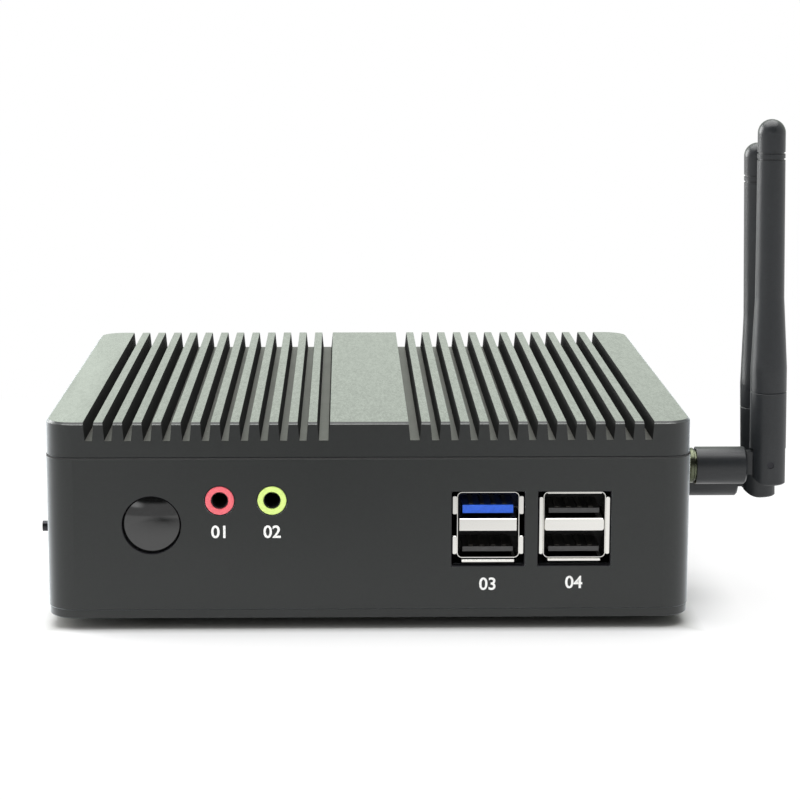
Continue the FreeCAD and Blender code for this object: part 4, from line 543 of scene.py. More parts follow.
def build_finishes(settings):
    """Every material; a metal is its colour and two roughnesses, a plastic has its grain and relief after them."""
    for name, values in METALS.items():
        bare_metal(name, *values)
    for name, values in PLASTICS.items():
        moulded(name, *values)
    grain = settings.blast_size
    anodised("case_metal", settings.case_colour, rough=0.34, seal=0.12, bloom=0.85)
    # the lid's top chamfer gets a painted highlight
    anodised("lid_metal", settings.lid_colour, rough=0.34, seal=0.15, bloom=0.85, highlight_band=lid_rim())
    blasted_top("lid_top", settings.top_colour, grain)
    # painted shade: the slot walls take the lid's colour at about a third of its strength
    sawn_wall("slot_wall", scaled(settings.lid_colour, 0.35), grain)
    # painted reflection: the slot floors are the lid's metal in a much lighter, browner colour, as the backdrop seen
    # at a grazing angle
    anodised("slot_floor", (0.05, 0.046, 0.04), rough=0.42, seal=0.1, bloom=0.0, grain_size=grain,
             contrast=0.3, depth=0.00003)
    socket_insert("tongue_plastic", (0.055, 0.055, 0.055), (0.006, 0.006, 0.006))
    socket_insert("blue_tongue", (0.014, 0.12, 0.74), (0.002, 0.014, 0.09))
    moulded("aerial_plastic", settings.aerial_colour, 0.28, 0.42, grain=3000.0, depth=0.00002)
    moulded("ink", settings.print_colour, 0.45, 0.6, grain=3000.0, depth=0.000002)
    circuit_board("board_green")
    piano_black("piano_black")


FINISH_OF_NODE = {
    "lid_metal": ["heatsink_lid"],
    "case_metal": ["case_frame", "bottom_cover"],
    "black_screw": ["case_screws", "front_aerial_pin", "rear_aerial_pin", "side_stud"],
    "steel": ["board_screws", "card_screws", "switch_screws", "button_spring", "coin_cell"],
    "nickel": [
        "usb_left_shell", "usb_right_shell", "small_video_shell", "wide_video_shell", "jackscrews",
        "lan_left_jack", "lan_right_jack", "power_inlet_pin",
    ],
    "coupling": ["aerial_nuts", "aerial_collars"],
    "brass": ["aerial_jacks"],
    "gold": ["lan_contacts", "board_standoffs", "card_posts"],
    "contact_metal": ["usb_contacts"],
    "copper": ["heat_block"],
    "rubber": ["rubber_feet"],
    "black_plastic": ["small_video_insert", "power_inlet", "power_switch", "cell_holder"],
    "tongue_plastic": ["usb_left_lower_insert", "usb_right_inserts"],
    "blue_tongue": ["usb_left_upper_insert"],
    "blue_plastic": ["wide_video_insert"],
    "cream_plastic": ["memory_socket", "card_sockets"],
    "pink_plastic": ["microphone_jack"],
    "lime_plastic": ["headphone_jack"],
    "aerial_plastic": ["front_aerial_sleeve", "rear_aerial_sleeve", "front_aerial_rod", "rear_aerial_rod"],
    "lead_jacket": ["front_aerial_lead", "rear_aerial_lead"],
    "chip_epoxy": ["processor", "coils", "capacitors"],
    "thermal_pad": ["thermal_pad"],
    "board_green": ["mainboard", "memory_module", "drive_card", "radio_card", "switch_board"],
    "piano_black": ["power_button"],
}


def finish_named(name):
    return bpy.data.materials[name]


# ---- mesh helpers -----------------------------------------------------------------------------
AXES = {
    "X": (Vector((1, 0, 0)), Vector((0, 1, 0)), Vector((0, 0, 1))),
    "Y": (Vector((0, 1, 0)), Vector((0, 0, 1)), Vector((1, 0, 0))),
}
TURNS = tuple(math.radians(degrees) for degrees in (0, 30, 60, 90))


def box_outline(width, height, radius, steps=6):
    """A rounded rectangle about the origin, as points in order; all outlines of equal steps match."""
    points = []
    for quarter, (side, rise) in enumerate(((1, 1), (-1, 1), (-1, -1), (1, -1))):
        for step in range(steps + 1):
            angle = math.radians(90) * (quarter + step / steps)
            across = side * (width / 2 - radius) + radius * math.cos(angle)
            up = rise * (height / 2 - radius) + radius * math.sin(angle)
            points.append((across, up))
    return points


def mesh_of(solids, name, sharp_from=38):
    """A mesh from gathered faces, smooth but for edges sharper than an angle in degrees."""
    mesh = bpy.data.meshes.new(name)
    solids.to_mesh(mesh)
    solids.free()
    for attribute in [item for item in mesh.attributes if item.name == "custom_normal"]:
        mesh.attributes.remove(attribute)
    mesh.shade_smooth()
    mesh.set_sharp_from_angle(angle=math.radians(sharp_from))
    return mesh


def new_piece(label, mesh, finish, body, replaced=()):
    """A finished piece at the origin, riding on a body."""
    piece = bpy.data.objects.new(label, mesh)
    bpy.context.scene.collection.objects.link(piece)
    mesh.materials.append(finish_named(finish))
    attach(piece, body)
    if replaced:
        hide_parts(*replaced)


class Maker:
    """Closed solids gathered in one mesh."""

    def __init__(self):
        self.solids = bmesh.new()

    def bridged(self, rings, closed=False):
        """Joins rings of equal length; the ends are capped unless the rings close on themselves."""
        loops = [[self.solids.verts.new(point) for point in ring] for ring in rings]
        pairs = list(zip(loops, loops[1:]))
        if closed:
            pairs.append((loops[-1], loops[0]))
        for near, far in pairs:
            for index, vertex in enumerate(near):
                after = (index + 1) % len(near)
                self.solids.faces.new((vertex, near[after], far[after], far[index]))
        if not closed:
            self.solids.faces.new(loops[0])
            self.solids.faces.new(reversed(loops[-1]))

    def turned(self, profile, centre, axis="Y", steps=64, closed=False):
        """A turned solid from pairs of place along the axis and radius."""
        along, first, second = AXES[axis]
        rings = []
        for place, radius in profile:
            ring = []
            for step in range(steps):
                angle = 2 * math.pi * step / steps
                spoke = first * math.cos(angle) + second * math.sin(angle)
                ring.append(Vector(centre) + along * place + spoke * radius)
            rings.append(ring)
        self.bridged(rings, closed)

    def outlined(self, layers, centre, closed=False):
        """A solid that faces the front, from pairs of place along Y and outline."""
        across, up = centre
        rings = [[Vector((across + x, place, up + z)) for x, z in outline] for place, outline in layers]
        self.bridged(rings, closed)

    def tube(self, front, back, outer, inner, centre, steps):
        """A round wall between two radii, turned about Y."""
        profile = [(front, outer), (back, outer), (back, inner), (front, inner)]
        self.turned(profile, centre, "Y", steps, closed=True)

    def frame(self, front, back, outer, inner, centre):
        """A wall between two outlines, open to the front and the back."""
        layers = [(front, outer), (back, outer), (back, inner), (front, inner)]
        self.outlined(layers, centre, closed=True)

    def plate(self, width, height, radius, front, back, centre, bevel):
        """A rounded plate that faces the front, bevelled round its face."""
        face = box_outline(width - 2 * bevel, height - 2 * bevel, max(radius - bevel, bevel / 4))
        edge = box_outline(width, height, radius)
        self.outlined([(front, face), (front + bevel, edge), (back, edge)], centre)

    def mesh(self, name):
        bmesh.ops.recalc_face_normals(self.solids, faces=self.solids.faces)
        return mesh_of(self.solids, name)

    def piece(self, label, finish, body, slot, replaced=()):
        new_piece(label, self.mesh(label), finish, body, replaced)


def evaluated_mesh(holder):
    """The mesh that an object shows once its modifiers or its text are worked out; the object goes."""
    bpy.context.view_layer.update()
    mesh = bpy.data.meshes.new_from_object(holder.evaluated_get(bpy.context.evaluated_depsgraph_get()))
    bpy.data.objects.remove(holder)
    return mesh


def text_mesh(words, height, depth):
    """Flat letters of one height, centred on the origin, standing in the XZ plane and facing -Y."""
    curve = bpy.data.curves.new("digits", "FONT")
    curve.body = words
    curve.align_x = "CENTER"
    curve.align_y = "CENTER"
    curve.extrude = 0.5
    curve.offset = 0.018
    curve.resolution_u = 6
    holder = bpy.data.objects.new("digits", curve)
    bpy.context.scene.collection.objects.link(holder)
    mesh = evaluated_mesh(holder)
    lows = min(vertex.co.y for vertex in mesh.vertices)
    highs = max(vertex.co.y for vertex in mesh.vertices)
    size = height / (highs - lows)
    upright = Matrix.Rotation(math.radians(90), 4, "X")
    centre = Matrix.Translation((0, -(lows + highs) / 2, 0))
    mesh.transform(upright @ Matrix.Diagonal((size, size, depth, 1)) @ centre)
    return mesh


def middle(node):
    low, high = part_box(node)
    return (low + high) / 2


# ---- geometry nodes ---------------------------------------------------------------------------
def row_of_copies(name):
    """Copies of one object along a straight line, made real and given a material."""
    geometry = "NodeSocketGeometry"
    inputs = {
        "Geometry": (geometry, None), "Item": ("NodeSocketObject", None), "Count": ("NodeSocketInt", 1),
        "Start": (VECTOR, None), "Step": (VECTOR, None), "Finish": ("NodeSocketMaterial", None),
    }
    tree, given, result = new_group(name, "GeometryNodeTree", inputs, {"Geometry": geometry})
    line = add_node(tree, "GeometryNodeMeshLine", mode="OFFSET")
    item = add_node(tree, "GeometryNodeObjectInfo")
    copies = add_node(tree, "GeometryNodeInstanceOnPoints")
    real = add_node(tree, "GeometryNodeRealizeInstances")
    coated = add_node(tree, "GeometryNodeSetMaterial")
    linked(tree, given["Count"], line.inputs["Count"])
    linked(tree, given["Start"], line.inputs["Start Location"])
    linked(tree, given["Step"], line.inputs["Offset"])
    linked(tree, given["Item"], item.inputs["Object"])
    linked(tree, line.outputs["Mesh"], copies.inputs["Points"])
    linked(tree, item.outputs["Geometry"], copies.inputs["Instance"])
    linked(tree, copies.outputs["Instances"], real.inputs["Geometry"])
    linked(tree, real.outputs["Geometry"], coated.inputs["Geometry"])
    linked(tree, given["Finish"], coated.inputs["Material"])
    linked(tree, coated.outputs["Geometry"], result["Geometry"])
    return tree


def row_of(item_mesh, start, step, count, finish):
    """One row of copies of a mesh, as a plain mesh."""
    name = row_of_copies.__name__
    tree = bpy.data.node_groups.get(name) or row_of_copies(name)
    item = bpy.data.objects.new("row_item", item_mesh)
    holder = bpy.data.objects.new("row_holder", bpy.data.meshes.new("row_holder"))
    for thing in (item, holder):
        bpy.context.scene.collection.objects.link(thing)
    modifier = holder.modifiers.new("row", "NODES")
    modifier.node_group = tree
    values = {"Item": item, "Count": count, "Start": start, "Step": step, "Finish": finish_named(finish)}
    for socket in tree.interface.items_tree:
        if socket.in_out == "INPUT" and socket.name in values:
            modifier[socket.identifier] = values[socket.name]
    mesh = evaluated_mesh(holder)
    bpy.data.objects.remove(item)
    return mesh


def joined(meshes, name):
    whole = bmesh.new()
    for mesh in meshes:
        whole.from_mesh(mesh)
    return mesh_of(whole, name)


# ---- operators --------------------------------------------------------------------------------
class COMPUTER_OT_finishes(bpy.types.Operator):
    """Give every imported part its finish"""

    bl_idname = "computer.finishes"
    bl_label = "Finishes"

    def execute(self, context):
        build_finishes(context.scene.computer_finish)
        for finish, nodes in FINISH_OF_NODE.items():
            for node in nodes:
                materials = NODES[node].data.materials
                materials.clear()
                materials.append(MADE[finish])
        return {"FINISHED"}


class COMPUTER_OT_lid(bpy.types.Operator):
    """Give the lid's fins their draft, so that the slots between them narrow towards the floor"""

    bl_idname = "computer.lid"
    bl_label = "Finned lid"

    def execute(self, context):
        settings = context.scene.computer_lid
        lid = bmesh.new()
        lid.from_mesh(NODES["heatsink_lid"].data)
        bmesh.ops.remove_doubles(lid, verts=lid.verts, dist=0.001 * MM)
        bmesh.ops.dissolve_limit(lid, angle_limit=math.radians(0.2), verts=lid.verts, edges=lid.edges)
        self.taper_slots(lid, settings)
        self.sort_faces(lid, settings)
        bmesh.ops.triangulate(lid, faces=lid.faces)
        mesh = mesh_of(lid, "finned_lid", sharp_from=20)
        new_piece("finned_lid", mesh, "lid_metal", "base", ["heatsink_lid"])
        for name in ("lid_top", "slot_wall", "slot_floor"):
            mesh.materials.append(finish_named(name))
        self.gasket(settings)
        return {"FINISHED"}

    def taper_slots(self, lid, settings):
        """Moves the foot of each slot's wall into the slot."""
        slack = 0.01 * MM
        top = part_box("heatsink_lid")[1].z
        walls = [settings.centre_band / 2, settings.centre_band / 2 + settings.centre_slot]
        while len(walls) < 2 * (settings.fin_count + 1):
            walls.append(walls[-1] + settings.fin_thickness)
            walls.append(walls[-2] + settings.fin_pitch)
        for vertex in lid.verts:
            drop = (top - vertex.co.z) / settings.slot_depth
            if not 0 < drop < 1 + slack:
                continue
            for index, wall in enumerate(walls):
                if abs(abs(vertex.co.x) - wall) < slack:
                    draft = settings.draft * drop
                    vertex.co.x = math.copysign(wall + (draft if index % 2 == 0 else -draft), vertex.co.x)
                    break

    def sort_faces(self, lid, settings):
        """Gives each face its finish: 0 outside, 1 on top, 2 on the walls of the slots, 3 on their floors; the top
        and floor finishes carry painted sheen and reflection, the wall finish painted shade.
        """
        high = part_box("heatsink_lid")[1]
        upright, at_top = 0.9, high.z - 0.1 * MM
        lid.normal_update()
        for face in lid.faces:
            centre = face.calc_center_median()
            inside = abs(centre.x) < high.x - settings.corner
            if face.normal.z > upright:
                face.material_index = 1 if centre.z > at_top else 3
            elif inside and abs(face.normal.x) > upright and centre.z > high.z - settings.slot_depth:
                face.material_index = 2
            else:
                face.material_index = 0

    def gasket(self, settings):
        """A dark strip in the groove between the lid and the frame, as painted shade in the seam."""
        low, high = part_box("case_frame")
        outer, inner, above, below = 0.02 * MM, 0.4 * MM, 0.1 * MM, -0.2 * MM
        rings = []
        for inset, rise in ((outer, above), (outer, below), (inner, below), (inner, above)):
            outline = box_outline(
                high.x - low.x - 2 * inset, high.y - low.y - 2 * inset, settings.corner - inset, 12
            )
            rings.append([Vector((x, y, high.z + rise)) for x, y in outline])
        maker = Maker()
        maker.bridged(rings, closed=True)
        maker.piece("lid_gasket", "rubber", "base", "rubber")


class COMPUTER_OT_print(bpy.types.Operator):
    """Print plain port numbers under the jacks and the double sockets"""

    bl_idname = "computer.print"
    bl_label = "Port numbers"

    def execute(self, context):
        settings = context.scene.computer_print
        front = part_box("case_frame")[0].y
        under_jacks = middle("microphone_jack").z - settings.jack_drop
        shell_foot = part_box("usb_left_shell")[0].z
        for digits, node, up in (
            ("01", "microphone_jack", under_jacks),
            ("02", "headphone_jack", under_jacks),
            ("03", "usb_left_shell", shell_foot - settings.left_drop),
            ("04", "usb_right_shell", shell_foot - settings.right_drop),
        ):
            mesh = text_mesh(digits, settings.digit_height, settings.ink_thickness)
            mesh.transform(Matrix.Translation((middle(node).x, front, up)))
            new_piece("port_number_" + digits, mesh, "ink", "base")
        return {"FINISHED"}


# A lip's sizes in millimetres, and its middle: a share of the stack's width or height, and a shift from there.
LOW, MIDDLE, HIGH = 0.0, 0.5, 1.0
Lip = namedtuple("Lip", "width height corner bevel across shift up rise start", defaults=(0.1,))
LIPS = {
    "left": (
        Lip(0.98, 3.9, 0.32, 0.08, LOW, -0.6, LOW, 2.5),
        Lip(0.98, 3.9, 0.32, 0.08, LOW, -0.6, HIGH, -2.68),
        Lip(0.98, 3.9, 0.32, 0.08, HIGH, 0.6, LOW, 2.5),
        Lip(0.98, 3.9, 0.32, 0.08, HIGH, 0.6, HIGH, -2.68),
        Lip(11.05, 0.6, 0.2, 0.08, MIDDLE, 0.0, LOW, -0.88),
    ),
    "right": (
        Lip(0.85, 12.2, 0.3, 0.08, LOW, -0.6, LOW, 6.6),
        Lip(0.95, 12.2, 0.35, 0.08, HIGH, 0.62, LOW, 6.6),
        Lip(11.3, 0.34, 0.12, 0.04, MIDDLE, 0.0, HIGH, -0.09, -0.08),
        Lip(11.1, 0.62, 0.2, 0.1, MIDDLE, 0.0, LOW, -0.66),
    ),
}
# The block between the two openings, and the bend between the wrap and the lower lip, in millimetres.
Trim = namedtuple("Trim", "inset corner root_width root_drop")
TRIM = {"left": Trim(0.32, 0.12, 11.0, 0.7), "right": Trim(0.1, 0.5, 10.6, 0.5)}


class COMPUTER_OT_double_sockets(bpy.types.Operator):
    """Fold the shells of the two double sockets from thin sheet"""

    bl_idname = "computer.double_sockets"
    bl_label = "Double sockets"

    def execute(self, context):
        settings = context.scene.computer_socket
        left = (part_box("usb_left_lower_insert")[0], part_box("usb_left_upper_insert")[1])
        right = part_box("usb_right_inserts")
        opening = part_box("usb_left_lower_insert")[1].z - left[0].z
        for side, (low, high) in (("left", left), ("right", right)):
            shell = f"usb_{side}_shell"
            front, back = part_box(shell)[0].y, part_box(shell)[1].y
            maker = Maker()
            self.stack(maker, settings, low, high, front, back)
            self.divider(maker, TRIM[side], low, high, opening, front, back)
            self.lips(maker, settings, LIPS[side], low, high, front)
            self.root(maker, settings, TRIM[side], low, high, front)
            maker.piece(f"usb_{side}_stack", "nickel", "base", "nickel", [shell])
        self.liners(settings)
        return {"FINISHED"}

    def stack(self, maker, settings, low, high, front, back):
        """The rounded wrap round both openings, and the plate behind them."""
        centre = ((low.x + high.x) / 2, (low.z + high.z) / 2)
        width, height = high.x - low.x, high.z - low.z
        sheet = settings.sheet
        outer = box_outline(width + 2 * sheet, height + 2 * sheet, settings.corner + sheet)
        inner = box_outline(width, height, settings.corner)
        end = back - 2 * sheet
        maker.frame(front, end, outer, inner, centre)
        maker.plate(width + 2 * sheet, height + 2 * sheet, settings.corner, end, back, centre, sheet / 2)

    def divider(self, maker, trim, low, high, opening, front, back):
        """The block of sheet between the two openings."""
        bottom, top = low.z + opening, high.z - opening
        centre = ((low.x + high.x) / 2, (bottom + top) / 2)
        width = high.x - low.x - 2 * trim.inset * MM
        maker.plate(width, top - bottom, trim.corner * MM, front, back - 0.6 * MM, centre, 0.1 * MM)

    def lips(self, maker, settings, lips, low, high, front):
        """Lips that are folded outwards onto the panel."""
        back = front + 0.1 * MM + settings.lip_sheet
        for lip in lips:
            across = low.x + lip.across * (high.x - low.x) + lip.shift * MM
            up = low.z + lip.up * (high.z - low.z) + lip.rise * MM
            sizes = (lip.width * MM, lip.height * MM, lip.corner * MM)
            maker.plate(*sizes, front + lip.start * MM, back, (across, up), lip.bevel * MM)

    def root(self, maker, settings, trim, low, high, front):
        """The bend between the wrap and the lower lip, set back from the face."""
        setback = 1.0 * MM
        top, bottom = low.z - settings.sheet, low.z - trim.root_drop * MM
        centre = ((low.x + high.x) / 2, (top + bottom) / 2)
        place = front + setback
        back = place + settings.lip_sheet
        maker.plate(trim.root_width * MM, top - bottom, 0.05 * MM, place, back, centre, 0.04 * MM)

    def liners(self, settings):
        """Thin dark sheets in the two cut-outs, as painted shade on their walls."""
        setback, depth, corner = 0.06 * MM, 2.4 * MM, 0.5 * MM
        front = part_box("case_frame")[0].y + setback
        wide, tall, wall = settings.cut_width, settings.cut_height, settings.cut_lining
        outer = box_outline(wide, tall, corner)
        inner = box_outline(wide - 2 * wall, tall - 2 * wall, corner)
        maker = Maker()
        for shell in ("usb_left_shell", "usb_right_shell"):
            maker.frame(front, front + depth, outer, inner, (middle(shell).x, settings.cut_middle))
        maker.piece("socket_linings", "black_plastic", "base", "black_plastic")


class COMPUTER_OT_controls(bpy.types.Operator):
    """Turn the domed power button and the rings of the two jacks, and put dark sheets of painted shade in the jacks
    and round the button
    """

    bl_idname = "computer.controls"
    bl_label = "Button and jacks"

    def execute(self, context):
        settings = context.scene.computer_control
        self.button(settings)
        shade_sheets = Maker()
        for name, plastic in (("microphone", "pink_plastic"), ("headphone", "lime_plastic")):
            self.jack(settings, shade_sheets, name, plastic)
        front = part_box("case_frame")[0].y
        centre = middle("power_button")
        depth, wall = 2.5 * MM, 0.06 * MM
        # painted shade: a thin dark ring lines the button's hole
        hole = settings.cap_hole
        shade_sheets.tube(front, front + depth, hole, hole - wall, (centre.x, 0, centre.z), 96)
        shade_sheets.piece("jack_linings", "black_plastic", "base", "black_plastic")
        return {"FINISHED"}

    def button(self, settings):
        """A domed cap with a rounded edge, its flange behind the panel, and the plunger."""
        low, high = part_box("power_button")
        centre = middle("power_button")
        edge, dome = settings.button_edge, settings.dome
        face = settings.cap_radius - edge
        spread = math.asin(face / dome)
        dome_steps, from_switch = 10, 0.04 * MM
        profile = []
        for step in range(1, dome_steps + 1):
            angle = spread * step / dome_steps
            profile.append((low.y + dome - dome * math.cos(angle), dome * math.sin(angle)))
        rim = profile[-1][0]
        profile += [(rim + edge * (1 - math.cos(turn)), face + edge * math.sin(turn)) for turn in TURNS[1:]]
        flange = (high.x - low.x) / 2
        shoulder = low.y + settings.wall
        behind = shoulder + settings.flange
        profile += [(shoulder, settings.cap_radius), (shoulder, flange), (behind, flange)]
        profile += [(behind, settings.plunger), (high.y - from_switch, settings.plunger)]
        maker = Maker()
        maker.turned(profile, (centre.x, 0, centre.z), "Y", 96)
        maker.piece("button_cap", "piano_black", "power_button", "gloss_black", ["power_button"])

    def jack(self, settings, shade_sheets, name, plastic):
        """A jack's rounded ring with its body behind the panel, and the dark rings in and round it, as painted shade
        in the bore and in the gap round the ring.
        """
        node = name + "_jack"
        low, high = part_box(node)
        centre = middle(node)
        place = (centre.x, 0, centre.z)
        hole = (high.z - low.z) / 2 + settings.ring_clearance
        outer = hole - settings.ring_gap
        bore, edge = settings.bore, settings.ring_edge
        ring_length, seat_depth, shade_sheet_depth = 3.5 * MM, 0.35 * MM, 0.55 * MM
        shoulder, end = low.y + ring_length, low.y + settings.bore_depth
        profile = [(low.y + edge * (1 - math.sin(turn)), bore + edge * (1 - math.cos(turn))) for turn in TURNS]
        profile += [(low.y + edge * (1 - math.cos(turn)), outer - edge * (1 - math.sin(turn))) for turn in TURNS]
        profile += [(shoulder, outer), (shoulder, bore)]
        maker = Maker()
        maker.turned(profile, place, "Y", 64, closed=True)
        self.jack_body(maker, settings, centre, high.x - low.x, shoulder, end, high.y)
        maker.piece(name + "_barrel", plastic, "base", plastic, [node])
        seat = low.y + seat_depth
        shade_sheets.tube(seat, seat + edge, hole, outer, place, 64)
        shade_sheets.tube(low.y + shade_sheet_depth, end, bore, bore - settings.lining, place, 48)

    def jack_body(self, maker, settings, centre, width, shoulder, end, back):
        """The bored body behind the ring, and the plate that closes it; both sit a little under the bore."""
        drop, corner, steps = 0.1 * MM, 0.4 * MM, 8
        clearance, spare, overlap, bevel = 0.03 * MM, 0.02 * MM, 0.05 * MM, 0.1 * MM
        height, bored = settings.body_height, settings.bore + clearance
        body_centre = (centre.x, centre.z - drop)
        hole = [(x, z + drop) for x, z in box_outline(2 * bored, 2 * bored, bored, steps)]
        maker.frame(shoulder, end, box_outline(width, height, corner, steps), hole, body_centre)
        maker.plate(width - 2 * spare, height - 2 * spare, corner, end - overlap, back, body_centre, bevel)


class COMPUTER_OT_couplings(bpy.types.Operator):
    """Turn the rings of the aerial couplings, put a dark plate of painted shade across each hinge tongue as its slit,
    and cut the thread of the side stud
    """

    bl_idname = "computer.couplings"
    bl_label = "Couplings and stud"

    def execute(self, context):
        settings = context.scene.computer_aerial
        self.rings(settings)
        self.tongue_slits(settings)
        self.stud(settings)
        return {"FINISHED"}

    def rings(self, settings):
        """A bevelled ring on each jack, with a hub that reaches into the sleeve."""
        bore, outer, hub = settings.bore, settings.ring_radius, settings.hub_radius
        near_bevel, far_bevel = 0.1 * MM, 0.12 * MM
        maker = Maker()
        for sleeve in ("front_aerial_sleeve", "rear_aerial_sleeve"):
            low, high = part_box(sleeve)
            centre = (0, (low.y + high.y) / 2, low.z + settings.sleeve_radius)
            start, ring = low.x - settings.ring_length, low.x - settings.seam
            inside = ring + settings.hub_length
            profile = [
                (start, bore), (start, outer - near_bevel), (start + near_bevel, outer),
                (ring - far_bevel, outer), (ring, outer - far_bevel), (ring, hub), (inside, hub), (inside, bore),
            ]
            maker.turned(profile, centre, "X", 72, closed=True)
        maker.piece("coupling_rings", "coupling", "base", "nickel", ["aerial_collars"])

    def tongue_slits(self, settings):
        """A dark plate across each hinge tongue, where it shows between the sleeve and the rod, as the painted shade
        of its slit.
        """
        before, beyond, proud, bevel = 0.05 * MM, 0.65 * MM, 0.03 * MM, 0.01 * MM
        reach = settings.tongue / 2 + proud
        for name in ("front", "rear"):
            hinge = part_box(f"{name}_aerial_sleeve")[0].x + settings.sleeve_length
            pin = middle(f"{name}_aerial_pin")
            centre = (hinge + (beyond - before) / 2, pin.z)
            maker = Maker()
            maker.plate(before + beyond, settings.slit, proud, pin.y - reach, pin.y + reach, centre, bevel)
            maker.piece(f"{name}_tongue_slit", "black_plastic", f"{name}_sleeve", "black_plastic")

    def stud(self, settings):
        """A row of ridges along the stud, as its thread."""
        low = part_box("side_stud")[0]
        centre = middle("side_stud")
        pitch, depth, crest = settings.thread_pitch, settings.thread_depth, settings.stud_radius
        flank, foot = pitch * 0.45, crest - depth
        ridge = Maker()
        profile = [(0, foot), (flank, crest), (2 * flank, foot), (flank, foot - depth)]
        ridge.turned(profile, (0, centre.y, centre.z), "X", 32, closed=True)
        count = int((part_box("case_frame")[0].x - low.x) / pitch)
        row = row_of(ridge.mesh("stud_ridge"), (low.x, 0, 0), (pitch, 0, 0), count, "black_screw")
        new_piece("stud_thread", joined([row], "stud_thread"), "black_screw", "base")


class COMPUTER_OT_rear_sockets(bpy.types.Operator):
    """Add black discs as painted shade in the pin holes of the wide video socket, and the lamps of the network
    sockets
    """

    bl_idname = "computer.rear_sockets"
    bl_label = "Rear sockets"

    def execute(self, context):
        settings = context.scene.computer_socket
        self.pin_holes(settings)
        self.lamps(settings)
        return {"FINISHED"}

    def pin_holes(self, settings):
        """Three rows of round black discs on the insert, as painted shade in its pin holes; the middle row is half a
        pitch along.
        """
        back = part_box("wide_video_insert")[1].y
        across = middle("wide_video_shell").x
        up = middle("jackscrews").z
        radius, pitch, count = settings.pin_hole_radius, settings.pin_pitch, settings.pins_in_row
        thickness = 0.02 * MM
        disc = Maker()
        disc.turned([(0, radius), (thickness, radius)], (0, 0, 0), "Y", 16)
        item = disc.mesh("pin_hole")
        rows = []
        for level, shift in ((-1, -0.25), (0, 0.25), (1, -0.25)):
            start = (across + (shift - (count - 1) / 2) * pitch, back, up + level * settings.row_pitch)
            rows.append(row_of(item, start, (pitch, 0, 0), count, "black_plastic"))
        holes = joined(rows, "video_pin_holes")
        new_piece("video_pin_holes", holes, "black_plastic", "base")

    def lamps(self, settings):
        """Two small windows at the foot of each network socket."""
        width, height, corner, proud = 2.6 * MM, 1.5 * MM, 0.3 * MM, 0.1 * MM
        outer = box_outline(width, height, corner)
        face = box_outline(width - 2 * proud, height - 2 * proud, corner)
        for colour, side in (("lamp_green", 1), ("lamp_amber", -1)):
            maker = Maker()
            for node in ("lan_left_jack", "lan_right_jack"):
                low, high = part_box(node)
                centre = (middle(node).x + side * settings.lamp_spread, low.z + settings.lamp_height)
                maker.outlined([(high.y, outer), (high.y + proud, face)], centre)
            maker.piece("network_" + colour, colour, "base", "cream_plastic")


# Each softbox: its place, where it points, its size, the setting of its power, and whether gloss shows it.
LIGHTS = {
    "top_light": ((0.0, 0.1, 0.9), (0, 0, 0), 1.1, "top_power", True),
    "front_light": ((-0.5, -1.1, 0.7), (0, 0, 0.02), 0.8, "front_power", False),
    "side_light": ((-1.2, 0.7, 0.45), (0, 0, 0.02), 0.9, "side_power", True),
}


def zone(tree, value, rise, fall):
    """One between two slopes: it rises over the first pair of values and falls over the second."""
    return product(tree, remap(tree, value, rise), remap(tree, value, fall, (1.0, 0.0)))


def blended(tree, factor, first, second):
    """Two shaders mixed by a mask."""
    node = add_node(tree, "ShaderNodeMixShader")
    for index, output in enumerate((factor, first, second)):
        linked(tree, output, node.inputs[index])
    return node.outputs["Shader"]


